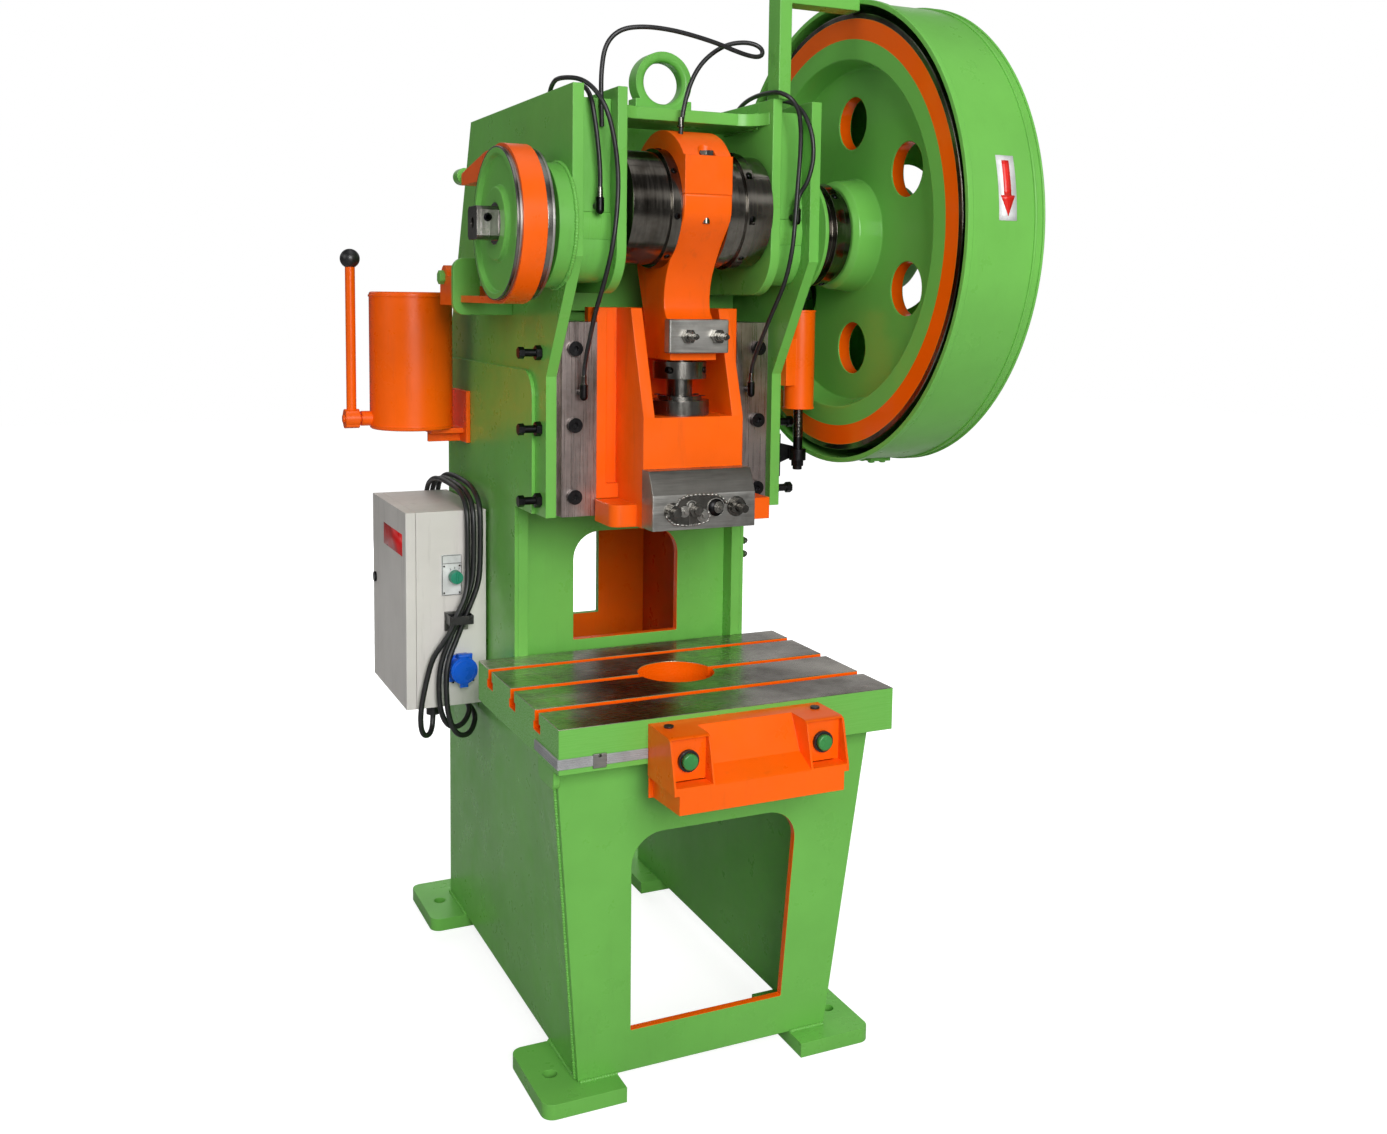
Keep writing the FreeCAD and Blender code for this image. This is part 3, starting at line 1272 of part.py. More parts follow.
for label, side in (("left", -1), ("right", 1)):
    x = "%d * palmSide" % side
    collarRing = rod(x, hoodFace + " - 8", "palmHeight", "palmRingRadius", "8", alongY)
    ringBore = rod(x, hoodFace + " - 9", "palmHeight", "palmRadius + 0.5", "20", alongY)
    blackRings.append(cut(collarRing, ringBore))
    head = rod(x, hoodFace + " - 16", "palmHeight", "palmRadius", "9", alongY)
    headFront = worth(hoodFace) - 15
    head = rounded(head, "3", lambda e: e.Curve.TypeId == "Part::GeomCircle" and middle(e).y < headFront)
    stem = rod(x, hoodFace + " - 8", "palmHeight", "palmStem", "38", alongY)
    node(join(head, stem), "palm_button_" + label)
for side in (-1, 1):
    blackRings.append(rod("%d * (palmSide + 14)" % side, "bolsterFront - 34", "controlHigh", "9", "4"))
node(group(glandPiece, *blackRings), "plastic_trim")

stripFront = "(bolsterFront - flatCableThick)"
stripLeft = "(-bolsterWidth / 2 - flatCableThick)"
stripHigh = "flatCableHigh - flatCableLow"
front = box(stripLeft, stripFront, "flatCableLow",
            "bolsterWidth / 2 - controlHalf - 10.5 + flatCableThick", "flatCableThick", stripHigh)
sideStrip = box(stripLeft, stripFront, "flatCableLow", "flatCableThick", "flatCableBack", stripHigh)
node(join(front, sideStrip), "flat_conduit")

# Clutch trip cylinder
can = rod("canRight", "canForward", "canLow", "canRadius", "canHigh - canLow")
can = rounded(can, "3", lambda e: e.Curve.TypeId == "Part::GeomCircle")
canBore = rod("canRight", "canForward", "canLow - 1", "tripRadius + runFit", "canHigh - canLow + 2")
canFoot = box("frameHalf", "canForward - 24", "canLow + 50",
              "canRight - frameHalf - tripRadius - 4", "48", "100")
node(cut(join(can, canFoot), canBore), "clutch_can")
trip = rod("canRight", "canForward", "tripLow", "tripRadius", "tripTop - tripLow - 20")
tripHead = box("canRight - 14", "canForward - 18", "tripTop - 27", "28", "36", "27")
tripNut = hexagon("canRight", "canForward", "tripLow + 8", "headRadius", "headHeight")
node(join(trip, tripHead, tripNut), "trip_rod")
armPlate = box("frameHalf", "canForward + 12", "gibBottom + 60", "tripArmThick", "46", "92")
armOut = prism("XZ", [
    ("frameHalf", "gibBottom + 134"),
    ("canRight + 16", "gibBottom + 120"),
    ("canRight + 16", "gibBottom + 97"),
    ("canRight - 16", "gibBottom + 97"),
    ("frameHalf", "gibBottom + 86"),
], "canForward + 12", "tripArmThick")
armEye = rod("canRight", "canForward", "tripLow + 8 + headHeight + softGap", "18", "24")
armBore = rod("canRight", "canForward", "gibBottom + 40", "tripRadius + softGap", "90")
node(cut(join(armPlate, armOut, armEye), armBore), "trip_bracket")

# Hoses and the supply cable
def routed(points):
    """Straight runs joined by tangent arcs, each as large as its two runs allow."""
    edges = []
    radii = []
    start = points[0]
    for before, corner, after in zip(points, points[1:], points[2:]):
        into = corner - before
        out = after - corner
        reach = 0.45 * min(into.Length, out.Length)
        half = into.getAngle(out) / 2
        radius = reach / math.tan(half)
        radii.append(radius)
        into = Vector(into).normalize()
        out = Vector(out).normalize()
        begin = corner - into * reach
        finish = corner + out * reach
        inward = (out - into).normalize()
        crown = corner + inward * (radius / math.cos(half) - radius)
        edges.append(Part.LineSegment(start, begin).toShape())
        edges.append(Part.Arc(begin, crown, finish).toShape())
        start = finish
    edges.append(Part.LineSegment(start, points[-1]).toShape())
    return Part.Wire(edges), radii


def tube(name, spots, radius):
    """A solid tube along a route; prints its radii, its length and how its volume compares."""
    points = [Vector(*spot) for spot in spots]
    path, radii = routed(points)
    ring = Part.Circle(points[0], points[1] - points[0], radius).toShape()
    solid = path.makePipeShell([Part.Wire([ring])], True, False)
    ideal = math.pi * radius ** 2 * path.Length
    print("%s: length %.0f, least radius %.0f, volume ratio %.4f, radii %s"
          % (name, path.Length, min(radii), solid.Volume / ideal, " ".join("%.0f" % r for r in radii)))
    return solid, path


hoseRadius = worth("hoseRadius")
standoff = worth("hoseStandoff")
faceY = worth("cheekFront") - standoff
housingY = worth("cheekFront + housingSetback")
gibY = worth("gibFront")
topZ = worth("headTop")
fittingOut = worth("fittingLength")
gibFittingZ = worth("cheekKneeHeight - 264")
recessNear = worth("cheekInner + innerPlateThick")
recessWide = worth(plateInner) - recessNear


def right(share):
    """X of a lane in the recess beside the right cheek plate: 0 at the cheek, 1 at the side plate."""
    return recessNear + share * recessWide


def left(share):
    return -right(share)


leftGib = (-worth("cheekInner + 38"), gibY - fittingOut, gibFittingZ)
rightGib = (worth("cheekInner + 26"), gibY - fittingOut, gibFittingZ)
leftJournal = (-worth("cheekInner + 50"), housingY - fittingOut, worth("axisHeight + 36"))
rightJournal = (worth("cheekInner + 64"), housingY - fittingOut, worth("axisHeight + 30"))


def fitting(spot, back):
    """An elbow: a stem out of the work and a collar that takes the hose from above."""
    x, y, z = spot
    radius = worth("fittingRadius")
    stem = Part.makeCylinder(radius * 0.8, back - y, Vector(x, y, z), Vector(0, 1, 0))
    socket = Part.makeCylinder(radius, fittingOut, Vector(x, y, z - radius), Vector(0, 0, 1))
    knuckle = Part.makeSphere(radius, Vector(x, y, z - radius))
    return stem.fuse([socket, knuckle]).removeSplitter()


fittings = []
for spot, back in ((leftGib, gibY), (rightGib, gibY), (leftJournal, housingY), (rightJournal, housingY)):
    fittings.append(fitting(spot, back))
rodX = -worth("rodOilSide")
rodY = worth("axisForward - rodOilForward")
rodZ = worth(headHeightAt + " + sqrt(rodHeadRadius ^ 2 - rodOilForward ^ 2)")
roofZ = worth("headTop - innerPlateThick")
blockWide = recessWide * 0.65
fittings.append(Part.makeBox(blockWide, 30, 24, Vector(left(0.9), -110, roofZ)))
fittings.append(Part.makeBox(blockWide, 30, 24, Vector(right(0.2), -110, roofZ)))
feature("oil_fittings", Part.makeCompound(fittings))

socketTop = fittingOut - worth("fittingRadius")


def hose(name, spots):
    return tube(name, spots, hoseRadius)[0]


hoses = [
    hose("hose to left gib", [
        (left(0.761), -111, roofZ + 12), (left(0.821), -162, topZ + 6),
        (left(1.075), -226, topZ + 18), (left(1.269), -300, topZ + 22),
        (left(0.866), -374, topZ + 12), (left(0.463), faceY - 8, topZ - 34),
        (left(0.179), faceY - 8, topZ - 96),
        (left(0.03), faceY - 4, topZ - 165), (left(0.06), faceY - 4, topZ - 232),
        (left(0.179), faceY - 2, topZ - 300),
        (left(0.299), -380, topZ - 366), (left(0.328), -338, topZ - 424),
        (left(0.299), -300, topZ - 482),
        (left(0.269), -274, topZ - 524),
        (leftGib[0], leftGib[1], gibFittingZ + socketTop + 24),
        (leftGib[0], leftGib[1], gibFittingZ + socketTop)]),
    hose("hose to left journal", [
        (left(0.418), -111, roofZ + 12), (left(0.478), -170, topZ + 4),
        (left(0.597), -240, topZ + 12), (left(0.687), -312, topZ + 12),
        (left(0.716), -374, topZ - 11), (left(0.612), leftJournal[1] - 2, topZ - 64),
        (left(0.493), leftJournal[1] - 1, topZ - 121),
        (left(0.44), leftJournal[1], topZ - 166),
        (leftJournal[0], leftJournal[1], leftJournal[2] + socketTop + 10),
        (leftJournal[0], leftJournal[1], leftJournal[2] + socketTop)]),
    hose("hose to right gib", [
        (right(0.388), -111.7, roofZ + 12), (right(0.209), -176, topZ + 8),
        (right(-0.104), -252, topZ + 13), (right(-0.269), -322, topZ + 15),
        (right(-0.299), -384, topZ + 13), (right(-0.239), -413, topZ + 10),
        (right(-0.015), -429, topZ - 1), (right(0.284), -427, topZ - 22),
        (right(0.463), -415, topZ - 57), (right(0.507), faceY - 8, topZ - 106),
        (right(0.478), faceY - 4, topZ - 165), (right(0.418), faceY - 4, topZ - 230),
        (right(0.358), faceY - 2, topZ - 296),
        (right(0.299), -382, topZ - 360), (right(0.209), -342, topZ - 418),
        (right(0.134), -304, topZ - 476), (right(0.09), -276, topZ - 522),
        (rightGib[0], rightGib[1], gibFittingZ + socketTop + 24),
        (rightGib[0], rightGib[1], gibFittingZ + socketTop)]),
    hose("hose to right journal", [
        (right(0.627), -111, roofZ + 12), (right(0.612), -170, topZ + 4),
        (right(0.612), -240, topZ + 13), (right(0.672), -312, topZ + 12),
        (right(0.776), -374, topZ - 8), (right(0.955), faceY, topZ - 56),
        (right(1.03), faceY - 2, topZ - 112),
        (right(0.881), faceY + 5, topZ - 160),
        (rightJournal[0] + 6, rightJournal[1], rightJournal[2] + socketTop + 34),
        (rightJournal[0], rightJournal[1], rightJournal[2] + socketTop + 12),
        (rightJournal[0], rightJournal[1], rightJournal[2] + socketTop)]),
]
feature("oil_hoses", Part.makeCompound(hoses))

rodLine = hose("hose to the rod", [
    (left(0.31), -366, topZ - 73), (left(0.34), -366, topZ - 22), (left(0.36), -369, topZ + 30),
    (left(0.27), -374, topZ + 78),
    (-166, -381, topZ + 106), (-122, -387, topZ + 114), (-70, -388, topZ + 113),
    (-20, -386, topZ + 107),
    (34, -384, topZ + 97), (78, -382, topZ + 85), (110, -380, topZ + 79), (130, -377, topZ + 80),
    (140, -372, topZ + 88), (139, -367, topZ + 99), (126, -362, topZ + 107), (103, -358, topZ + 109),
    (72, -354, topZ + 103), (42, -352, topZ + 86), (14, -352, topZ + 60),
    (-6, -353, topZ + 26), (-20, -355, topZ - 16), (rodX, rodY, rodZ + 10), (rodX, rodY, rodZ - 10)])
feature("rod_hose", rodLine)

# the supply cable: out of the gland, round the box three times, held together by a tie in front
behind = worth(shellBack) + 24
infront = worth("boxFront") - 18
over = worth("boxHigh")
under = worth("boxLow")
gx = worth(glandX)


def arch(x, lift):
    """Up the front of the box, over its top and down behind it."""
    return [
        (x, infront + 1, over - 105), (x, infront - 1, over - 42),
        (x, infront + 8 - lift / 2, over + 14 + lift / 2),
        (x, infront + 66, over + 38 + lift), (x, infront + 150, over + 43 + lift),
        (x, infront + 232, over + 44 + lift), (x, infront + 308, over + 36 + lift),
        (x, behind - 10 + lift / 2, over + 8 + lift / 2), (x, behind, over - 60),
        (x, behind + 3, over - 170),
        (x, behind + 3, over - 300), (x, behind + 1, under + 40)]


spots = [
    (gx, worth("boxFront") + 40, under - 8), (gx, worth("boxFront") + 40, under - 46),
    (gx - 12, infront + 36, under - 66), (gx - 31, infront + 14, under - 62),
    (gx - 42, infront + 2, under - 38),
    (gx - 42, infront + 1, under + 2), (gx - 31, infront, under + 60),
    (gx - 16, infront - 2, under + 118),
    (gx + 6, infront - 9, under + 150), (gx + 26, infront - 13, under + 182),
    (gx + 37, infront - 13, under + 214),
    (gx + 55, infront - 12, under + 246), (gx + 64, infront - 6, under + 282)]
spots += arch(gx + 65, 0)
spots += [
    (gx + 72, behind - 12, under - 14), (gx + 87, behind - 60, under - 24),
    (gx + 94, behind - 150, under - 24),
    (gx + 95, behind - 250, under - 24), (gx + 88, infront + 62, under - 30),
    (gx + 56, infront + 18, under - 50),
    (gx + 20, infront + 2, under - 44), (gx + 1, infront, under - 4), (gx - 2, infront, under + 56),
    (gx + 3, infront + 1, under + 104), (gx + 22, infront, under + 152),
    (gx + 43, infront, under + 200),
    (gx + 61, infront, under + 241), (gx + 76, infront, under + 283)]
spots += arch(gx + 79, 0)
spots += [
    (gx + 86, behind - 4, under - 26), (gx + 99, behind - 52, under - 40),
    (gx + 105, behind - 140, under - 40),
    (gx + 106, behind - 250, under - 40), (gx + 100, infront + 56, under - 46),
    (gx + 70, infront + 4, under - 68),
    (gx + 34, infront - 13, under - 60), (gx + 15, infront - 14, under - 12),
    (gx + 12, infront - 12, under + 48),
    (gx + 14, infront - 8, under + 88), (gx + 24, infront - 3, under + 122),
    (gx + 41, infront, under + 158),
    (gx + 58, infront, under + 202),
    (gx + 76, infront, under + 241), (gx + 91, infront, under + 283)]
spots += arch(gx + 94, 8)[:-2]
cable, path = tube("supply cable", spots, worth("cableRadius"))
line = path.discretize(Distance=5)
least = 1e9
for i in range(len(line)):
    for j in range(i + 26, len(line)):
        distance = line[i].distanceToPoint(line[j])
        if distance < least:
            least = distance
            place = line[i]
print("supply cable: least gap to itself %.2f at %s" % (least - 2 * worth("cableRadius"), place))
feature("cable_hank", cable)
tieInside = Part.makeBox(49, 26, 40, Vector(gx + 21, infront - 19.5, under + 180))
tieOutside = Part.makeBox(54, 31, 20, Vector(gx + 18.5, infront - 22, under + 191))
feature("cable_tie", tieOutside.cut(tieInside))

doc.recompute()
os.makedirs("parts", exist_ok=True)
faults = []
for item in doc.Objects:
    if "Invalid" in item.State or "Error" in item.State:
        faults.append("%s (%s) %s" % (item.Name, item.Label, item.State))
for label, item in nodes.items():
    if item.Shape.isNull() or not item.Shape.isValid():
        faults.append("%s has no valid shape" % label)
if faults:
    raise RuntimeError("; ".join(faults))
for label, item in nodes.items():
    item.Shape.exportStep("parts/%s.step" % label)
    print("%-26s %2d solids %10.1f cm3" % (label, len(item.Shape.Solids), item.Shape.Volume / 1000))
print(len(nodes), "nodes")
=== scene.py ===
import json
import math

import bmesh
import bpy
from mathutils import Matrix, Vector

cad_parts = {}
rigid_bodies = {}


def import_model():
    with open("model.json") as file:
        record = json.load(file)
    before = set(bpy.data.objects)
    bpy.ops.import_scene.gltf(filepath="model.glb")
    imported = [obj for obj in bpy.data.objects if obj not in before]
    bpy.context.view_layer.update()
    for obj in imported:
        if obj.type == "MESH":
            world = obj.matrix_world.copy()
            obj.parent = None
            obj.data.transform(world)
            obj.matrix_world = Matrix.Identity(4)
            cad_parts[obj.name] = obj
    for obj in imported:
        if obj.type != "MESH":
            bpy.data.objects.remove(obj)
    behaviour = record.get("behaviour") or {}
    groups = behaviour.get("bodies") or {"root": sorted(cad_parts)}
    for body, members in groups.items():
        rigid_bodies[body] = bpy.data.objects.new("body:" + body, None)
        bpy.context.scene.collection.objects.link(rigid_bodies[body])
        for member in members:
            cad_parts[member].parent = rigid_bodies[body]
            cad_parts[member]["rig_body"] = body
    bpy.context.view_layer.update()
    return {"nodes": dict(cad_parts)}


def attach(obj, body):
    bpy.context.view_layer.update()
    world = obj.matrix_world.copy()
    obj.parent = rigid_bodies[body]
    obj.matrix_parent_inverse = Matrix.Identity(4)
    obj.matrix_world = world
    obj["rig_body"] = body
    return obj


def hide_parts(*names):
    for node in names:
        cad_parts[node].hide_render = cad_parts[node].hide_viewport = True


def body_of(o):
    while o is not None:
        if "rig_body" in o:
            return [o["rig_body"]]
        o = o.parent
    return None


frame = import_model()
nodes = frame["nodes"]
scene = bpy.context.scene
scene.view_settings.view_transform = "Standard"

# Camera first: where the photograph was taken from.
view = {
    "place": (-1.140, -2.810, 1.533),
    "yaw": 25.07,
    "pitch": 5.73,
    "roll": 0.76,
    "focal": 1370.0,  # in pixels of the photograph
    "centreY": 434.0,
    "width": 1387,
    "height": 1134,
    "sensor": 36,
}


def makeCamera():
    yaw, pitch, roll = (math.radians(view[key]) for key in ("yaw", "pitch", "roll"))
    ahead = Vector((math.sin(yaw) * math.cos(pitch), math.cos(yaw) * math.cos(pitch), -math.sin(pitch)))
    level = Vector((math.cos(yaw), -math.sin(yaw), 0))
    above = level.cross(ahead)
    right = level * math.cos(roll) + above * math.sin(roll)
    up = above * math.cos(roll) - level * math.sin(roll)
    data = bpy.data.cameras.new("pressCamera")
    data.sensor_width = view["sensor"]
    data.lens = view["focal"] / view["width"] * view["sensor"]
    data.shift_y = (view["centreY"] - view["height"] / 2) / view["width"]
    camera = bpy.data.objects.new("pressCamera", data)
    turn = Matrix((right, up, -ahead)).transposed().to_4x4()
    camera.matrix_world = Matrix.Translation(view["place"]) @ turn
    scene.collection.objects.link(camera)
    scene.camera = camera


makeCamera()
print("camera placed")

# Small helpers for shader nodes.


def add(tree, kind, inputs=None, **settings):
    item = tree.nodes.new(kind)
    for key, value in settings.items():
        setattr(item, key, value)
    for key, value in (inputs or {}).items():
        if isinstance(value, bpy.types.NodeSocket):
            tree.links.new(value, item.inputs[key])
        else:
            item.inputs[key].default_value = value
    return item


def maths(tree, operation, first, second=0.0, clamp=False):
    return add(tree, "ShaderNodeMath", {0: first, 1: second}, operation=operation, use_clamp=clamp).outputs[0]


def blended(tree, factor, first, second, mode="MIX"):
    item = add(tree, "ShaderNodeMix", {0: factor, 6: first, 7: second}, data_type="RGBA", blend_type=mode)
    return item.outputs[2]


def noise(tree, where, scale, detail=3.0, rough=0.55, stretch=None):
    if stretch:
        where = add(tree, "ShaderNodeMapping", {"Vector": where, "Scale": stretch}).outputs[0]
    settings = {"Vector": where, "Scale": scale, "Detail": detail, "Roughness": rough}
    return add(tree, "ShaderNodeTexNoise", settings).outputs["Fac"]


def spread(tree, value, low, high, toLow=0.0, toHigh=1.0):
    inputs = {"Value": value, "From Min": low, "From Max": high, "To Min": toLow, "To Max": toHigh}
    return add(tree, "ShaderNodeMapRange", inputs, clamp=True).outputs["Result"]


def between(tree, value, low, high, soft=0.0006):  # 1 inside low..high, 0 outside
    rise = spread(tree, value, low - soft, low + soft)
    fall = spread(tree, value, high - soft, high + soft, 1.0, 0.0)
    return maths(tree, "MULTIPLY", rise, fall)


def shade(colour, amount):
    return (*[channel * amount for channel in colour[:3]], 1)


def startMaterial(name):
    material = bpy.data.materials.new(name)
    material.use_nodes = True
    tree = material.node_tree
    tree.nodes.clear()
    output = tree.nodes.new("ShaderNodeOutputMaterial")
    shader = tree.nodes.new("ShaderNodeBsdfPrincipled")
    tree.links.new(shader.outputs[0], output.inputs[0])
    where = tree.nodes.new("ShaderNodeTexCoord").outputs["Object"]
    return material, tree, shader, where


def finishBump(tree, shader, height, strength, distance, edge=0.0):
    inputs = {"Height": height, "Strength": strength, "Distance": distance}
    if edge:
        inputs["Normal"] = add(tree, "ShaderNodeBevel", {"Radius": edge}, samples=4).outputs[0]
    bump = add(tree, "ShaderNodeBump", inputs)
    tree.links.new(bump.outputs[0], shader.inputs["Normal"])


# Paints. Each mask is (colour, function) and lays a second colour where the function gives 1.
green = (0.158, 0.47, 0.082)
orange = (0.93, 0.120, 0.0008)
# The next colour is the orange paint darkened as painted shade, for the column's inner side walls.
shadedOrange = (0.60, 0.045, 0.001)
paints = {
    "greenPaint": {"colour": green, "rough": 0.30, "peel": 0.05, "cast": 0.0, "grime": 0.07, "edge": 0.0016},
    "greenCast": {"colour": (0.148, 0.45, 0.078), "rough": 0.33, "peel": 0.06, "cast": 0.35,
                  "grime": 0.18, "edge": 0.0022},
    "orangePaint": {"colour": orange, "rough": 0.30, "peel": 0.05, "cast": 0.0, "grime": 0.12, "edge": 0.0016},
    "orangeCast": {"colour": orange, "rough": 0.34, "peel": 0.06, "cast": 0.30, "grime": 0.18, "edge": 0.0030},
    "greyCoat": {"colour": (0.72, 0.69, 0.65), "rough": 0.42, "peel": 0.10, "cast": 0.0,
                 "grime": 0.22, "edge": 0.0012},
}
gloss = {"specular": 0.26, "coat": 0.06, "coatRough": 0.12}
coatScale = {"cloud": 2.6, "mottle": 22, "run": 9, "runStretch": (5.0, 5.0, 0.5), "sheen": 14, "peel": 330,
             "wave": 7, "waveShare": 0.9, "sand": 120, "bump": 0.35, "deep": 0.0022}
cloudTone = (0.90, 1.08)  # darkest and lightest share of a paint's colour
soot = (0.050, 0.036, 0.020, 1)
dust = (0.23, 0.21, 0.18, 1)


def makePaint(name, key, masks=()):
    facts = paints[key]
    material, tree, shader, where = startMaterial(name)
    clouds = noise(tree, where, coatScale["cloud"], 4)
    mottle = noise(tree, where, coatScale["mottle"], 3)
    colour = facts["colour"]
    cloudy = spread(tree, clouds, 0.35, 0.65)
    tone = blended(tree, cloudy, *[shade(colour, share) for share in cloudTone])
    for second, mask in masks:
        other = blended(tree, cloudy, *[shade(second, share) for share in cloudTone])
        tone = blended(tree, mask(tree, where), tone, other)
    tone = blended(tree, spread(tree, mottle, 0.45, 0.80, 0.0, 0.06), tone, shade(colour, 0.62))
    runs = noise(tree, where, coatScale["run"], 4, 0.7, coatScale["runStretch"])  # faint streaks that run down
    film = maths(tree, "MULTIPLY", spread(tree, runs, 0.56, 0.80), facts["grime"], True)
    tone = blended(tree, film, tone, soot)
    tree.links.new(tone, shader.inputs["Base Color"])
    sheen = noise(tree, where, coatScale["sheen"], 5, 0.65)
    rough = spread(tree, sheen, 0.3, 0.8, facts["rough"] - 0.07, facts["rough"] + 0.16)
    tree.links.new(rough, shader.inputs["Roughness"])
    shader.inputs["Specular IOR Level"].default_value = gloss["specular"]
    shader.inputs["Coat Weight"].default_value = gloss["coat"]
    shader.inputs["Coat Roughness"].default_value = gloss["coatRough"]
    peel = maths(tree, "MULTIPLY", noise(tree, where, coatScale["peel"], 2), facts["peel"])
    plateWave = maths(tree, "MULTIPLY", noise(tree, where, coatScale["wave"], 2), coatScale["waveShare"])
    height = maths(tree, "ADD", peel, plateWave)
    if facts["cast"]:
        sand = maths(tree, "MULTIPLY", noise(tree, where, coatScale["sand"], 4, 0.6), facts["cast"])
        height = maths(tree, "ADD", height, sand)
    finishBump(tree, shader, height, coatScale["bump"], coatScale["deep"], facts["edge"])
    return material


# Bare and blackened metals.
metals = {
    "groundSteel": {"dark": (0.20, 0.175, 0.15), "light": (0.62, 0.58, 0.53), "stain": (0.055, 0.034, 0.018),
                    "soil": 0.75, "rough": 0.26, "grain": (1.5, 60, 60), "edge": 0.0010},
    "gibSteel": {"dark": (0.17, 0.145, 0.13), "light": (0.60, 0.50, 0.47), "stain": (0.07, 0.045, 0.03),
                 "soil": 0.45, "rough": 0.28, "grain": (60, 60, 1.2), "edge": 0.0010},
    "plateSteel": {"dark": (0.20, 0.195, 0.18), "light": (0.50, 0.49, 0.46), "stain": (0.07, 0.05, 0.03),
                   "soil": 0.45, "rough": 0.36, "grain": (3, 60, 60), "edge": 0.0012},
    "turnedSteel": {"dark": (0.055, 0.050, 0.044), "light": (0.30, 0.29, 0.265), "stain": (0.03, 0.02, 0.012),
                    "soil": 0.5, "rough": 0.22, "grain": (26, 2, 2), "edge": 0.0010},
    "blackSteel": {"dark": (0.010, 0.010, 0.011), "light": (0.034, 0.034, 0.036), "stain": (0.02, 0.014, 0.008),
                   "soil": 0.3, "rough": 0.34, "grain": (30, 30, 30), "edge": 0.0006},
    "rimSteel": {"dark": (0.050, 0.043, 0.035), "light": (0.30, 0.28, 0.245), "stain": (0.03, 0.018, 0.010),
                 "soil": 0.6, "rough": 0.16, "grain": (40, 3, 3), "edge": 0.0010},
    "bushBronze": {"dark": (0.33, 0.20, 0.07), "light": (0.62, 0.43, 0.18), "stain": (0.08, 0.045, 0.02),
                   "soil": 0.3, "rough": 0.28, "grain": (120, 3, 3), "edge": 0.0008},
}
metalScale = {"cloud": 4.5, "grain": 6.0, "grainShare": 0.16, "stain": 7.5, "dent": 60, "dentShare": 0.25,
              "dull": 0.35, "bump": 0.06, "deep": 0.0010}


def makeMetal(name, key, masks=(), wear=None):
    facts = metals[key]
    material, tree, shader, where = startMaterial(name)
    clouds = noise(tree, where, metalScale["cloud"], 5, 0.6)
    grain = noise(tree, where, metalScale["grain"], 4, 0.6, facts["grain"])
    share = metalScale["grainShare"]
    mixIn = maths(tree, "ADD", maths(tree, "MULTIPLY", clouds, 1 - share), maths(tree, "MULTIPLY", grain, share))
    tone = blended(tree, spread(tree, mixIn, 0.38, 0.64), (*facts["dark"], 1), (*facts["light"], 1))
    stains = spread(tree, noise(tree, where, metalScale["stain"], 6, 0.68), 0.50, 0.68)
    tone = blended(tree, maths(tree, "MULTIPLY", stains, facts["soil"]), tone, (*facts["stain"], 1))
    if wear:
        second, mask = wear  # a second tone in one place only: worn bare metal on the bolster, painted shade on the tool clamp's upper facet
        tone = blended(tree, mask(tree, where), tone, (*second, 1))
    painted = 0.0
    for second, mask in masks:
        cover = mask(tree, where)
        tone = blended(tree, cover, tone, (*second, 1))
        painted = maths(tree, "MAXIMUM", painted, cover)
    tree.links.new(tone, shader.inputs["Base Color"])
    bare = maths(tree, "MULTIPLY", stains, -metalScale["dull"])
    shine = maths(tree, "SUBTRACT", maths(tree, "ADD", bare, 1.0), painted, True)
    tree.links.new(shine, shader.inputs["Metallic"])
    shader.inputs["Specular IOR Level"].default_value = gloss["specular"]
    rough = spread(tree, grain, 0.3, 0.75, facts["rough"] - 0.04, facts["rough"] + 0.08)
    tree.links.new(rough, shader.inputs["Roughness"])
    dents = maths(tree, "MULTIPLY", noise(tree, where, metalScale["dent"], 3), metalScale["dentShare"])
    height = maths(tree, "ADD", maths(tree, "MULTIPLY", grain, 0.5), dents)
    finishBump(tree, shader, height, metalScale["bump"], metalScale["deep"], facts["edge"])
    return material


plastics = {
    "blackPlastic": {"colour": (0.012, 0.012, 0.013), "rough": 0.30, "fine": 300, "edge": 0.0006},
    "blackRubber": {"colour": (0.013, 0.013, 0.014), "rough": 0.36, "fine": 160, "edge": 0.0},
    "greenPlastic": {"colour": (0.035, 0.24, 0.055), "rough": 0.22, "fine": 200, "edge": 0.0008},
    "tealPlastic": {"colour": (0.004, 0.200, 0.115), "rough": 0.28, "fine": 200, "edge": 0.0008},
    "bluePlastic": {"colour": (0.002, 0.105, 0.66), "rough": 0.26, "fine": 240, "edge": 0.0010},
    "whitePlate": {"colour": (0.70, 0.71, 0.70), "rough": 0.32, "fine": 240, "edge": 0.0004},
    "greyConduit": {"colour": (0.34, 0.345, 0.35), "rough": 0.40, "fine": 240, "edge": 0.0006},
    "redLabel": {"colour": (0.62, 0.006, 0.006), "rough": 0.30, "fine": 240, "edge": 0.0},
    "redInk": {"colour": (0.72, 0.012, 0.006), "rough": 0.34, "fine": 240, "edge": 0.0},
}


def makePlastic(name, key):
    facts = plastics[key]
    material, tree, shader, where = startMaterial(name)
    clouds = noise(tree, where, 24, 4)
    tone = blended(tree, spread(tree, clouds, 0.35, 0.7), shade(facts["colour"], 0.85), shade(facts["colour"], 1.18))
    dusty = spread(tree, noise(tree, where, 90, 4, 0.7), 0.58, 0.85, 0.0, 0.22)
    tone = blended(tree, dusty, tone, dust)
    tree.links.new(tone, shader.inputs["Base Color"])
    rough = spread(tree, clouds, 0.3, 0.75, facts["rough"] - 0.06, facts["rough"] + 0.14)
    tree.links.new(rough, shader.inputs["Roughness"])
    finishBump(tree, shader, noise(tree, where, facts["fine"], 2), 0.10, 0.0006, facts["edge"])
    return material


# Where a second colour lies on a node, from the place on the object and the way a face looks.


def axes(tree, where):
    return add(tree, "ShaderNodeSeparateXYZ", {0: where}).outputs


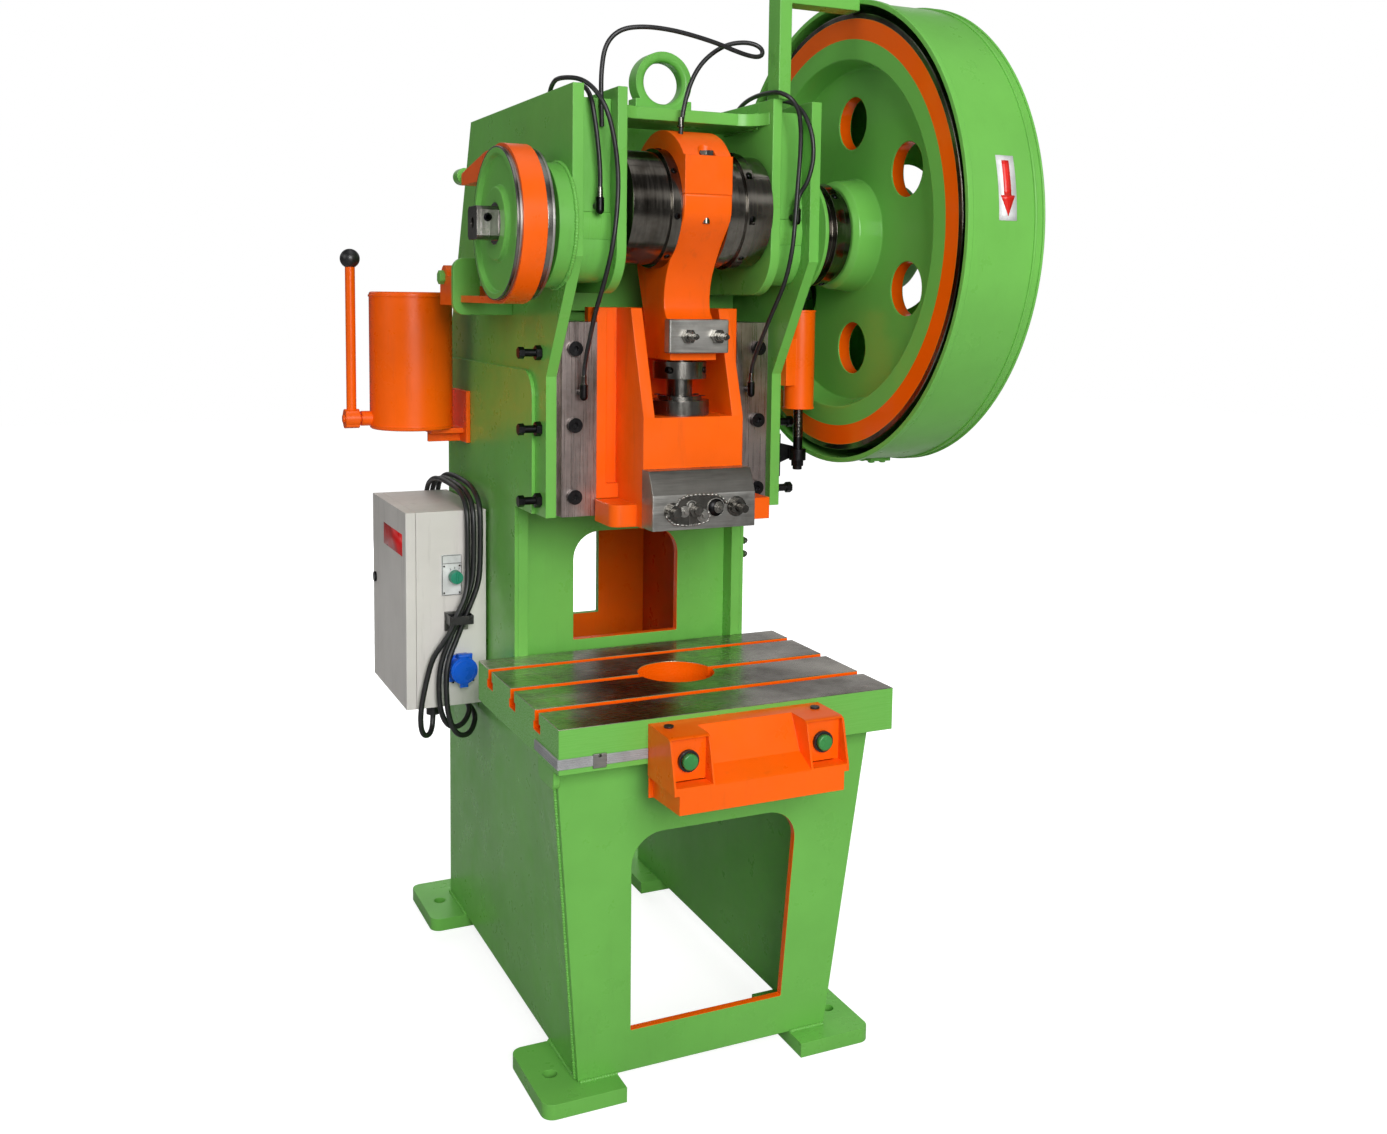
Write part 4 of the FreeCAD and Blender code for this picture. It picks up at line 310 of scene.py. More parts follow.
def facing(tree):
    normal = add(tree, "ShaderNodeNewGeometry").outputs["True Normal"]
    return add(tree, "ShaderNodeSeparateXYZ", {0: normal}).outputs


def absolute(tree, value):
    return maths(tree, "ABSOLUTE", value)


def product(tree, *values):
    result = values[0]
    for value in values[1:]:
        result = maths(tree, "MULTIPLY", result, value)
    return result


shaftY, shaftZ = -0.303, 1.664


def radiusOf(tree, where, forward=shaftY, height=shaftZ):
    place = axes(tree, where)
    y = maths(tree, "SUBTRACT", place[1], forward)
    z = maths(tree, "SUBTRACT", place[2], height)
    return maths(tree, "SQRT", maths(tree, "ADD", product(tree, y, y), product(tree, z, z)))


bed = {
    "top": 0.766, "slots": (-0.453, -0.303, -0.153), "neck": 0.0118, "head": 0.0198, "headTop": 0.7445,
    "deep": 0.040, "hole": 0.0795, "wearFrom": 0.19, "wearTo": 0.31, "worn": (0.74, 0.69, 0.62),
}


def bedPaint(tree, where):
    return spread(tree, axes(tree, where)[2], bed["top"] - 0.0012, bed["top"] - 0.0006, 1.0, 0.0)


def bedOrange(tree, where):
    y, z = axes(tree, where)[1:3]
    below = spread(tree, z, bed["top"] - 0.0016, bed["top"] - 0.0010, 1.0, 0.0)
    inside = 0.0
    for slotY in bed["slots"]:
        aside = absolute(tree, maths(tree, "SUBTRACT", y, slotY))
        neck = spread(tree, aside, bed["neck"], bed["neck"] + 0.0004, 1.0, 0.0)
        low = spread(tree, z, bed["headTop"], bed["headTop"] + 0.0004, 1.0, 0.0)
        head = product(tree, spread(tree, aside, bed["head"], bed["head"] + 0.0004, 1.0, 0.0), low)
        inside = maths(tree, "MAXIMUM", inside, maths(tree, "MAXIMUM", neck, head))
    deep = spread(tree, z, bed["top"] - bed["deep"], bed["top"] - bed["deep"] + 0.0015)
    flat = add(tree, "ShaderNodeVectorMath", {0: where, 1: (0, shaftY, 0)}, operation="SUBTRACT").outputs[0]
    flat = add(tree, "ShaderNodeVectorMath", {0: flat, 1: (1, 1, 0)}, operation="MULTIPLY").outputs[0]
    fromHole = add(tree, "ShaderNodeVectorMath", {0: flat}, operation="LENGTH").outputs["Value"]
    hole = spread(tree, fromHole, bed["hole"], bed["hole"] + 0.0004, 1.0, 0.0)
    return product(tree, below, maths(tree, "MAXIMUM", product(tree, inside, deep), hole))


def bedWear(tree, where):
    patches = spread(tree, noise(tree, where, 5.5, 4, 0.6), 0.40, 0.60)
    ends = spread(tree, absolute(tree, axes(tree, where)[0]), bed["wearFrom"], bed["wearTo"])
    return product(tree, ends, patches, 0.75)


# Painted shade: faces tilted upward are darkened, standing in for the dark reflection on the tool clamp's upper
# facet.
def upperFacetShade(tree, where):
    tilt = facing(tree)[2]
    return product(tree, between(tree, tilt, 0.25, 0.90), 0.80)


frontWindow = {"halfWide": 0.19, "low": 0.10, "high": 0.535}
throatWindow = {"halfWide": 0.13, "low": 0.77, "high": 1.03}
column = {"deep": (-0.012, 0.50), "high": (0.60, 1.50)}
wheel = {"band": (0.3980, 0.4380), "holes": (0.165, 0.300)}
drum = {"painted": 0.1400, "lip": 0.136}
bush = {"bare": 0.0595}


def windowReveal(halfWide, low, high):
    def mask(tree, where):
        place = axes(tree, where)
        edgeOn = spread(tree, absolute(tree, facing(tree)[1]), 0.55, 0.65, 1.0, 0.0)
        across = spread(tree, absolute(tree, place[0]), halfWide, halfWide + 0.001, 1.0, 0.0)
        return product(tree, edgeOn, across, between(tree, place[2], low, high))
    return mask


# Inner faces of the column's side walls: the real orange paint there is laid in a darker copy, as painted shade.
def columnInside(side):
    def mask(tree, where):
        y, z = axes(tree, where)[1:3]
        inward = spread(tree, maths(tree, "MULTIPLY", facing(tree)[0], -side), 0.5, 0.6)
        return product(tree, inward, between(tree, y, *column["deep"]), between(tree, z, *column["high"]))
    return mask


def frontFacing(tree, where):
    return spread(tree, facing(tree)[1], -0.6, -0.5, 1.0, 0.0)


def wheelOrange(tree, where):
    r = radiusOf(tree, where)
    sideways = spread(tree, absolute(tree, facing(tree)[0]), 0.75, 0.85)
    rim = product(tree, between(tree, r, *wheel["band"]), sideways)
    holeWall = spread(tree, absolute(tree, facing(tree)[0]), 0.2, 0.3, 1.0, 0.0)
    return maths(tree, "MAXIMUM", rim, product(tree, holeWall, between(tree, r, *wheel["holes"])))


def wheelGreen(tree, where):
    edge = wheel["band"][1]
    return spread(tree, radiusOf(tree, where), edge, edge + 0.0006, 1.0, 0.0)


def drumGreen(tree, where):
    r = radiusOf(tree, where)
    sideways = spread(tree, absolute(tree, facing(tree)[0]), 0.75, 0.85)
    within = spread(tree, r, drum["painted"], drum["painted"] + 0.0006, 1.0, 0.0)
    inner = spread(tree, r, drum["lip"], drum["lip"] + 0.001, 1.0, 0.0)
    return product(tree, within, maths(tree, "MAXIMUM", sideways, inner))


def bushGreen(tree, where):
    return spread(tree, radiusOf(tree, where), bush["bare"], bush["bare"] + 0.0005)


greenPaint = makePaint("greenPaint", "greenPaint")
greenCast = makePaint("greenCast", "greenCast")
orangePaint = makePaint("orangePaint", "orangePaint")
orangeCast = makePaint("orangeCast", "orangeCast")
greyCoat = makePaint("greyCoat", "greyCoat")
gibSteel = makeMetal("gibSteel", "gibSteel")
plateSteel = makeMetal("plateSteel", "plateSteel")
turnedSteel = makeMetal("turnedSteel", "turnedSteel")
blackSteel = makeMetal("blackSteel", "blackSteel")
blackPlastic = makePlastic("blackPlastic", "blackPlastic")
blackRubber = makePlastic("blackRubber", "blackRubber")
greenPlastic = makePlastic("greenPlastic", "greenPlastic")
tealPlastic = makePlastic("tealPlastic", "tealPlastic")
bluePlastic = makePlastic("bluePlastic", "bluePlastic")
whitePlate = makePlastic("whitePlate", "whitePlate")
greyConduit = makePlastic("greyConduit", "greyConduit")
redLabel = makePlastic("redLabel", "redLabel")
redInk = makePlastic("redInk", "redInk")

# Dark tone laid as painted shade on the tool clamp's upward facets, where the reflection is dark.
facetShadeTone = (0.095, 0.090, 0.080)
bedMetal = makeMetal("bedMetal", "groundSteel", [(green, bedPaint), (orange, bedOrange)], (bed["worn"], bedWear))
clampMetal = makeMetal("clampMetal", "plateSteel", (), (facetShadeTone, upperFacetShade))
frontPlatePaint = makePaint("frontPlatePaint", "greenPaint", [(orange, windowReveal(**frontWindow))])
throatPaint = makePaint("throatPaint", "greenPaint", [(orange, windowReveal(**throatWindow))])
backPaint = makePaint("backPaint", "greenPaint", [(orange, frontFacing)])
leftSidePaint = makePaint("leftSidePaint", "greenPaint", [(shadedOrange, columnInside(-1))])
rightSidePaint = makePaint("rightSidePaint", "greenPaint", [(shadedOrange, columnInside(1))])
wheelMetal = makeMetal("wheelMetal", "rimSteel", [(green, wheelGreen), (orange, wheelOrange)])
drumMetal = makeMetal("drumMetal", "plateSteel", [(green, drumGreen)])
darkTurned = makeMetal("darkTurned", "rimSteel")
bushMetal = makeMetal("bushMetal", "bushBronze", [(green, bushGreen)])

finishes = {
    "foot_plates": greenPaint, "side_plate_left": leftSidePaint, "side_plate_right": rightSidePaint,
    "cladding_plates": greenPaint, "base_front_plate": frontPlatePaint, "throat_plate": throatPaint,
    "back_plate": backPaint, "bolster": bedMetal, "cheek_plates": greenPaint, "bearing_housing_left": greenCast,
    "bearing_housing_right": greenCast, "main_bushes": bushMetal, "tie_plate": greenPaint, "lifting_eye": greenCast,
    "guide_blocks": gibSteel, "gib_plates": gibSteel, "gib_bolts": blackSteel, "crankshaft": turnedSteel,
    "brake_drum": drumMetal, "clutch_collar": darkTurned, "eccentric_sleeve": darkTurned,
    "connecting_rod": orangeCast, "rod_cap": orangeCast, "clamp_plate": plateSteel, "rod_fasteners": turnedSteel,
    "adjusting_screw": turnedSteel, "ball_seat_flange": turnedSteel, "slide": orangeCast, "tool_clamp": clampMetal,
    "tool_clamp_studs": turnedSteel, "flywheel": wheelMetal, "flywheel_guard": greenPaint, "guard_arm": greenPaint,
    "brake_bracket": greenPaint, "brake_band": orangePaint, "brake_bolts": greenPaint, "oil_tank": orangePaint,
    "tank_bracket": orangePaint, "pump_lever": orangePaint, "lever_ball": blackPlastic, "electric_box": greyCoat,
    "box_door": greyCoat, "door_lock": blackSteel, "switch_plate": whitePlate, "switch_knob": tealPlastic,
    "power_socket": bluePlastic, "socket_lid": bluePlastic, "control_box": orangePaint,
    "palm_button_left": greenPlastic, "palm_button_right": greenPlastic, "plastic_trim": blackPlastic,
    "flat_conduit": greyConduit, "clutch_can": orangePaint, "trip_rod": blackSteel, "trip_bracket": blackSteel,
    "oil_fittings": blackSteel, "oil_hoses": blackRubber, "rod_hose": blackRubber, "cable_hank": blackRubber,
    "cable_tie": blackPlastic,
}
for name, material in finishes.items():
    nodes[name].data.materials.clear()
    nodes[name].data.materials.append(material)
print("finishes laid on", len(finishes), "nodes")

# Cords: the supply cable in its hank, and the hoses that the head holds.


def makeLine(name, points, radius, material):
    curve = bpy.data.curves.new(name, "CURVE")
    curve.dimensions = "3D"
    curve.bevel_depth = radius
    curve.bevel_resolution = 5
    curve.resolution_u = 8
    curve.use_fill_caps = True
    spline = curve.splines.new("NURBS")
    spline.points.add(len(points) - 1)
    for point, spot in zip(spline.points, points):
        point.co = (*spot, 1)
    spline.order_u = 3
    spline.use_endpoint_u = True
    curve.materials.append(material)
    piece = bpy.data.objects.new(name, curve)
    scene.collection.objects.link(piece)
    return piece


def upAndOver(x, lift):  # up the front of the box, over its top and down behind it
    return [
        (x, 0.108, 0.950), (x, 0.106, 1.013), (x, 0.115 - lift / 2, 1.069 + lift / 2), (x, 0.173, 1.093 + lift),
        (x, 0.257, 1.098 + lift), (x, 0.339, 1.099 + lift), (x, 0.415, 1.091 + lift),
        (x, 0.474 + lift / 2, 1.063 + lift / 2), (x, 0.484, 0.995), (x, 0.487, 0.885), (x, 0.487, 0.755),
        (x, 0.485, 0.655),
    ]


cable = {"radius": 0.006, "length": 4.62, "first": -0.323, "second": -0.309, "third": -0.294, "lift": 0.008}
cableRoute = [
    (-0.388, 0.165, 0.607), (-0.388, 0.165, 0.569), (-0.400, 0.143, 0.549), (-0.419, 0.121, 0.553),
    (-0.430, 0.109, 0.577), (-0.430, 0.108, 0.617), (-0.419, 0.107, 0.675), (-0.404, 0.105, 0.733),
    (-0.382, 0.098, 0.765), (-0.362, 0.094, 0.797), (-0.351, 0.094, 0.829), (-0.333, 0.095, 0.861),
    (-0.324, 0.101, 0.897),
    *upAndOver(cable["first"], 0.0),
    (-0.316, 0.472, 0.601), (-0.301, 0.424, 0.591), (-0.294, 0.334, 0.591), (-0.293, 0.234, 0.591),
    (-0.300, 0.169, 0.585), (-0.332, 0.125, 0.565), (-0.368, 0.109, 0.571), (-0.387, 0.107, 0.611),
    (-0.390, 0.107, 0.671), (-0.385, 0.108, 0.719), (-0.366, 0.107, 0.767), (-0.345, 0.107, 0.815),
    (-0.327, 0.107, 0.856), (-0.312, 0.107, 0.898),
    *upAndOver(cable["second"], 0.0),
    (-0.302, 0.480, 0.589), (-0.289, 0.432, 0.575), (-0.283, 0.344, 0.575), (-0.282, 0.234, 0.575),
    (-0.288, 0.163, 0.569), (-0.318, 0.111, 0.547), (-0.354, 0.094, 0.555), (-0.373, 0.093, 0.603),
    (-0.376, 0.095, 0.663), (-0.374, 0.099, 0.703), (-0.364, 0.104, 0.737), (-0.347, 0.107, 0.773),
    (-0.330, 0.107, 0.817), (-0.312, 0.107, 0.856), (-0.297, 0.107, 0.898),
    *upAndOver(cable["third"], cable["lift"])[:-2],
]
supplyCable = makeLine("supplyCable", cableRoute, cable["radius"], blackRubber)
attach(supplyCable, "frame")
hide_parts("cable_hank")

hoseRoutes = {
    "hoseToLeftGib": [
        (-0.2250, -0.1110, 1.9130), (-0.2290, -0.1620, 1.9270), (-0.2460, -0.2260, 1.9390),
        (-0.2590, -0.3000, 1.9430), (-0.2320, -0.3740, 1.9330), (-0.2050, -0.4090, 1.8870),
        (-0.1860, -0.4090, 1.8250), (-0.1760, -0.4050, 1.7560), (-0.1780, -0.4050, 1.6890),
        (-0.1860, -0.4030, 1.6210), (-0.1940, -0.3800, 1.5550), (-0.1960, -0.3380, 1.4970),
        (-0.1940, -0.3000, 1.4390), (-0.1920, -0.2740, 1.3970), (-0.1920, -0.2690, 1.3790),
        (-0.1920, -0.2690, 1.3550)],
    "hoseToLeftJournal": [
        (-0.2020, -0.1110, 1.9130), (-0.2060, -0.1700, 1.9250), (-0.2140, -0.2400, 1.9330),
        (-0.2200, -0.3120, 1.9330), (-0.2220, -0.3740, 1.9100), (-0.2150, -0.3840, 1.8570),
        (-0.2070, -0.3830, 1.8000), (-0.2035, -0.3820, 1.7550), (-0.2040, -0.3820, 1.7240),
        (-0.2040, -0.3820, 1.7140)],
    "hoseToRightGib": [
        (0.2000, -0.1117, 1.9130), (0.1880, -0.1760, 1.9290), (0.1670, -0.2520, 1.9340), (0.1560, -0.3220, 1.9360),
        (0.1540, -0.3840, 1.9340), (0.1580, -0.4130, 1.9310), (0.1730, -0.4290, 1.9200), (0.1930, -0.4270, 1.8990),
        (0.2050, -0.4150, 1.8640), (0.2080, -0.4090, 1.8150), (0.2060, -0.4050, 1.7560), (0.2020, -0.4050, 1.6910),
        (0.1980, -0.4030, 1.6250), (0.1940, -0.3820, 1.5610), (0.1880, -0.3420, 1.5030), (0.1830, -0.3040, 1.4450),
        (0.1800, -0.2760, 1.3990), (0.1800, -0.2690, 1.3790), (0.1800, -0.2690, 1.3550)],
    "hoseToRightJournal": [
        (0.2160, -0.1110, 1.9130), (0.2150, -0.1700, 1.9250), (0.2150, -0.2400, 1.9340), (0.2190, -0.3120, 1.9330),
        (0.2260, -0.3740, 1.9130), (0.2380, -0.4010, 1.8650), (0.2430, -0.4030, 1.8090), (0.2330, -0.3960, 1.7610),
        (0.2240, -0.3820, 1.7420), (0.2180, -0.3820, 1.7200), (0.2180, -0.3820, 1.7080)],
}
rodHoseRoute = [
    (-0.1948, -0.3660, 1.8480), (-0.1968, -0.3660, 1.8990), (-0.1981, -0.3690, 1.9510), (-0.1921, -0.3740, 1.9990),
    (-0.1660, -0.3810, 2.0270), (-0.1220, -0.3870, 2.0350), (-0.0700, -0.3880, 2.0340), (-0.0200, -0.3860, 2.0280),
    (0.0340, -0.3840, 2.0180), (0.0780, -0.3820, 2.0060), (0.1100, -0.3800, 2.0000), (0.1300, -0.3770, 2.0010),
    (0.1400, -0.3720, 2.0090), (0.1390, -0.3670, 2.0200), (0.1260, -0.3620, 2.0280), (0.1030, -0.3580, 2.0300),
    (0.0720, -0.3540, 2.0240), (0.0420, -0.3520, 2.0070), (0.0140, -0.3520, 1.9810), (-0.0060, -0.3530, 1.9470),
    (-0.0200, -0.3550, 1.9050), (-0.0280, -0.3560, 1.8565), (-0.0280, -0.3560, 1.8365)]
hoseRadius = 0.0045
for name, route in hoseRoutes.items():
    hose = makeLine(name, route, hoseRadius, blackRubber)
    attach(hose, "frame")
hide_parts("oil_hoses")
rodHose = makeLine("rodHose", rodHoseRoute, hoseRadius, blackRubber)
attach(rodHose, "ram")
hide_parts("rod_hose")
print("cable and hoses laid")

# Nodes that keep their CAD shape get their edges rounded: width in metres, by how each was made.
edgeWidths = {
    "foot_plates": 0.0025, "side_plate_left": 0.0015, "side_plate_right": 0.0015, "cladding_plates": 0.0015,
    "base_front_plate": 0.0015, "throat_plate": 0.0015, "back_plate": 0.0015, "bolster": 0.0008,
    "cheek_plates": 0.0015, "bearing_housing_left": 0.004, "bearing_housing_right": 0.004, "main_bushes": 0.0006,
    "tie_plate": 0.0020, "lifting_eye": 0.0030, "guide_blocks": 0.0006, "gib_plates": 0.0008, "gib_bolts": 0.0007,
    "crankshaft": 0.0010, "brake_drum": 0.0020, "clutch_collar": 0.0010, "eccentric_sleeve": 0.0010,
    "rod_cap": 0.0060, "clamp_plate": 0.0012, "rod_fasteners": 0.0007,
    "adjusting_screw": 0.0010, "ball_seat_flange": 0.0010, "slide": 0.0030, "tool_clamp": 0.0010,
    "tool_clamp_studs": 0.0008, "flywheel": 0.0025, "flywheel_guard": 0.0012, "guard_arm": 0.0015,
    "brake_bracket": 0.0020, "brake_band": 0.0010, "brake_bolts": 0.0010, "oil_tank": 0.0012, "tank_bracket": 0.0012,
    "pump_lever": 0.0015, "lever_ball": 0.0, "electric_box": 0.0012, "box_door": 0.0016, "door_lock": 0.0006,
    "switch_plate": 0.0006, "switch_knob": 0.0012, "power_socket": 0.0012, "socket_lid": 0.0015,
    "control_box": 0.0016,
    "palm_button_left": 0.0008, "palm_button_right": 0.0008, "plastic_trim": 0.0008, "flat_conduit": 0.0006,
    "clutch_can": 0.0012, "trip_rod": 0.0010, "trip_bracket": 0.0012, "oil_fittings": 0.0006, "cable_tie": 0.0008,
}


def camel(name):
    first, *rest = name.split("_")
    return first + "".join(word.capitalize() for word in rest)


softening = {"segments": 2, "fromAngle": 32, "flatWeight": 60, "merge": 0.00002, "flatAngle": 0.6}


def soften(piece, width):
    if width:
        bevel = piece.modifiers.new("edges", "BEVEL")
        bevel.width = width
        bevel.segments = softening["segments"]
        bevel.limit_method = "ANGLE"
        bevel.angle_limit = math.radians(softening["fromAngle"])
        bevel.use_clamp_overlap = True
        bevel.miter_outer = "MITER_ARC"
        weigh = piece.modifiers.new("flats", "WEIGHTED_NORMAL")
        weigh.keep_sharp = True
        weigh.weight = softening["flatWeight"]
        finished = bpy.data.meshes.new_from_object(piece.evaluated_get(bpy.context.evaluated_depsgraph_get()))
        piece.modifiers.clear()
        piece.data = finished


def dress(name, width):
    source = nodes[name]
    mesh = source.data.copy()
    mesh.name = camel(name)
    work = bmesh.new()
    work.from_mesh(mesh)
    bmesh.ops.remove_doubles(work, verts=work.verts, dist=softening["merge"])
    flat = math.radians(softening["flatAngle"])
    bmesh.ops.dissolve_limit(work, angle_limit=flat, verts=work.verts, edges=work.edges)
    work.to_mesh(mesh)
    work.free()
    for attribute in [item.name for item in mesh.attributes if item.name.startswith("custom_normal")]:
        mesh.attributes.remove(mesh.attributes[attribute])
    for face in mesh.polygons:
        face.use_smooth = True
    piece = bpy.data.objects.new(camel(name), mesh)
    scene.collection.objects.link(piece)
    soften(piece, width)
    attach(piece, body_of(source)[0])
    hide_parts(name)
    return piece


dressed = {name: dress(name, width) for name, width in edgeWidths.items()}
print("edges rounded on", len(dressed), "pieces")

# Builders for the details that the CAD leaves out.


def addBlock(work, low, high):
    for vert in bmesh.ops.create_cube(work, size=1)["verts"]:
        vert.co = Vector([low[i] + (vert.co[i] + 0.5) * (high[i] - low[i]) for i in range(3)])


def addPrism(work, outline, axis, low, high):
    rings = []
    for level in (low, high):
        spots = [list(spot) for spot in outline]
        for spot in spots:
            spot.insert(axis, level)
        rings.append([work.verts.new(spot) for spot in spots])
    work.faces.new(rings[0])
    work.faces.new(rings[1])
    for index in range(len(outline)):
        after = (index + 1) % len(outline)
        work.faces.new((rings[0][index], rings[0][after], rings[1][after], rings[1][index]))


def addLathe(work, profile, centre, aim, steps=48):  # profile is closed: (radius, along) round its outline
    turn = Vector((0, 0, 1)).rotation_difference(Vector(aim)).to_matrix()
    rings = []
    for radius, along in profile:
        if radius == 0:
            rings.append([work.verts.new(Vector(centre) + turn @ Vector((0, 0, along)))] * steps)
            continue
        angles = [math.tau * step / steps for step in range(steps)]
        spots = [Vector((radius * math.cos(angle), radius * math.sin(angle), along)) for angle in angles]
        rings.append([work.verts.new(Vector(centre) + turn @ spot) for spot in spots])
    pairs = list(zip(rings, rings[1:]))
    if profile[0][0]:
        pairs.append((rings[-1], rings[0]))
    for first, second in pairs:
        for step in range(steps):
            after = (step + 1) % steps
            corners = list(dict.fromkeys((first[step], first[after], second[after], second[step])))
            if len(corners) > 2:
                work.faces.new(corners)


def finishPiece(name, work, body, material, width=0.0):
    bmesh.ops.recalc_face_normals(work, faces=work.faces)
    mesh = bpy.data.meshes.new(name)
    work.to_mesh(mesh)
    work.free()
    mesh.materials.append(material)
    for face in mesh.polygons:
        face.use_smooth = True
    piece = bpy.data.objects.new(name, mesh)
    scene.collection.objects.link(piece)
    soften(piece, width)
    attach(piece, body)
    return piece


# Geometry Nodes: what follows a path or repeats.


def startTree(name, sockets):
    tree = bpy.data.node_groups.new(name, "GeometryNodeTree")
    tree.interface.new_socket("Geometry", in_out="INPUT", socket_type="NodeSocketGeometry")
    tree.interface.new_socket("Geometry", in_out="OUTPUT", socket_type="NodeSocketGeometry")
    keys = {}
    for label, (kind, value) in sockets.items():
        socket = tree.interface.new_socket(label, in_out="INPUT", socket_type="NodeSocket" + kind)
        if value is not None:
            socket.default_value = value
        keys[label] = socket.identifier
    return tree, keys, tree.nodes.new("NodeGroupInput").outputs


def endTree(tree, geometry, given):
    smooth = add(tree, "GeometryNodeSetShadeSmooth", {"Geometry": geometry}).outputs[0]
    real = add(tree, "GeometryNodeRealizeInstances", {"Geometry": smooth}).outputs[0]
    painted = add(tree, "GeometryNodeSetMaterial", {"Geometry": real, "Material": given["Material"]}).outputs[0]
    add(tree, "NodeGroupOutput", {0: painted})


def grow(name, grower, points, values, body, edges=(), marks=None, width=0.0):
    tree, keys = grower
    mesh = bpy.data.meshes.new(name)
    mesh.from_pydata(points, edges, [])
    for label, (kind, data) in (marks or {}).items():
        layer = mesh.attributes.new(label, kind, "POINT")
        layer.data.foreach_set("vector" if kind == "FLOAT_VECTOR" else "value", data)
    piece = bpy.data.objects.new(name, mesh)
    modifier = piece.modifiers.new(name, "NODES")
    modifier.node_group = tree
    for label, value in values.items():
        modifier[keys[label]] = value
    scene.collection.objects.link(piece)
    finished = bpy.data.meshes.new_from_object(piece.evaluated_get(bpy.context.evaluated_depsgraph_get()))
    piece.modifiers.clear()
    piece.data = finished
    soften(piece, width)
    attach(piece, body)
    return piece


def makeSweeper():  # a round bead along each line of the mesh, rippled like a weld where asked
    tree, keys, given = startTree("beadAlong", {
        "Radius": ("Float", 0.003), "Step": ("Float", 0.0012), "Ripple": ("Float", 0.0), "Pitch": ("Float", 0.004),
        "Sides": ("Int", 10), "Material": ("Material", None)})
    line = add(tree, "GeometryNodeMeshToCurve", {"Mesh": given["Geometry"]}).outputs[0]
    line = add(tree, "GeometryNodeResampleCurve", {"Curve": line, "Length": given["Step"]}, mode="LENGTH").outputs[0]
    run = tree.nodes.new("GeometryNodeSplineParameter").outputs["Length"]
    wave = maths(tree, "SINE", maths(tree, "DIVIDE", maths(tree, "MULTIPLY", run, math.tau), given["Pitch"]))
    place = tree.nodes.new("GeometryNodeInputPosition").outputs[0]
    uneven = spread(tree, noise(tree, place, 130, 2), 0.3, 0.7, -1.0, 1.0)
    swell = maths(tree, "MULTIPLY", maths(tree, "ADD", wave, uneven), given["Ripple"])
    bead = {"Resolution": given["Sides"], "Radius": given["Radius"]}
    ring = add(tree, "GeometryNodeCurvePrimitiveCircle", bead).outputs[0]
    inputs = {"Curve": line, "Profile Curve": ring, "Scale": maths(tree, "ADD", swell, 1.0), "Fill Caps": True}
    endTree(tree, add(tree, "GeometryNodeCurveToMesh", inputs).outputs[0], given)
    return tree, keys


def makeFastener():  # washer, head and stud end at each point, along its "aim", as large as its "size"
    tree, keys, given = startTree("fastenerAt", {
        "Sides": ("Int", 6), "Head": ("Float", 0.8), "Washer": ("Float", 1.25), "Washer height": ("Float", 0.18),
        "Stud": ("Float", 0.55), "Stud length": ("Float", 0.0), "Seed": ("Int", 7), "Material": ("Material", None)})

    def barrel(sides, radius, low, tall):
        solid = add(tree, "GeometryNodeMeshCylinder", {"Vertices": sides, "Radius": radius, "Depth": tall}).outputs[0]
        rise = maths(tree, "ADD", low, maths(tree, "MULTIPLY", tall, 0.5))
        offset = add(tree, "ShaderNodeCombineXYZ", {"Z": rise}).outputs[0]
        return add(tree, "GeometryNodeTransform", {"Geometry": solid, "Translation": offset}).outputs[0]

    joined = tree.nodes.new("GeometryNodeJoinGeometry")
    top = maths(tree, "ADD", given["Washer height"], given["Head"])
    for shape in (barrel(32, given["Washer"], 0.0, given["Washer height"]),
                  barrel(given["Sides"], 1.0, given["Washer height"], given["Head"]),
                  barrel(24, given["Stud"], top, given["Stud length"])):
        tree.links.new(shape, joined.inputs[0])
    aim = add(tree, "GeometryNodeInputNamedAttribute", {"Name": "aim"}, data_type="FLOAT_VECTOR").outputs[0]
    size = add(tree, "GeometryNodeInputNamedAttribute", {"Name": "size"}, data_type="FLOAT").outputs[0]
    turn = add(tree, "FunctionNodeAlignRotationToVector", {"Vector": aim}, axis="Z").outputs[0]
    chance = tree.nodes.new("FunctionNodeRandomValue")
    chance.data_type = "FLOAT"
    chance.inputs[3].default_value = math.tau
    tree.links.new(given["Seed"], chance.inputs["Seed"])
    spin = add(tree, "FunctionNodeAxisAngleToRotation", {"Axis": (0, 0, 1), "Angle": chance.outputs[1]}).outputs[0]
    turn = add(tree, "FunctionNodeRotateRotation", {0: turn, 1: spin}, rotation_space="LOCAL").outputs[0]
    inputs = {"Points": given["Geometry"], "Instance": joined.outputs[0], "Rotation": turn, "Scale": size}
    endTree(tree, add(tree, "GeometryNodeInstanceOnPoints", inputs).outputs[0], given)
    return tree, keys


def makeCoiler():  # a spiral up from each place, for threads and springs
    tree, keys, given = startTree("coilUp", {
        "Turns": ("Float", 10.0), "Radius": ("Float", 0.01), "Height": ("Float", 0.1), "Wire": ("Float", 0.001),
        "Place": ("Vector", None), "Material": ("Material", None)})
    inputs = {"Resolution": 28, "Rotations": given["Turns"], "Start Radius": given["Radius"],
              "End Radius": given["Radius"], "Height": given["Height"]}
    spiral = add(tree, "GeometryNodeCurveSpiral", inputs).outputs[0]
    ring = add(tree, "GeometryNodeCurvePrimitiveCircle", {"Resolution": 8, "Radius": given["Wire"]}).outputs[0]
    inputs = {"Curve": spiral, "Profile Curve": ring, "Fill Caps": True}
    wire = add(tree, "GeometryNodeCurveToMesh", inputs).outputs[0]
    moved = add(tree, "GeometryNodeTransform", {"Geometry": wire, "Translation": given["Place"]}).outputs[0]
    endTree(tree, moved, given)
    return tree, keys


sweeper, fastener, coiler = makeSweeper(), makeFastener(), makeCoiler()


def sweep(name, lines, values, body):
    points, edges = [], []
    for line in lines:
        closed = line[0] == line[-1]
        spots = line[:-1] if closed else line
        base = len(points)
        points += spots
        edges += [(base + index, base + index + 1) for index in range(len(spots) - 1)]
        if closed:
            edges.append((base + len(spots) - 1, base))
    return grow(name, sweeper, points, values, body, edges)


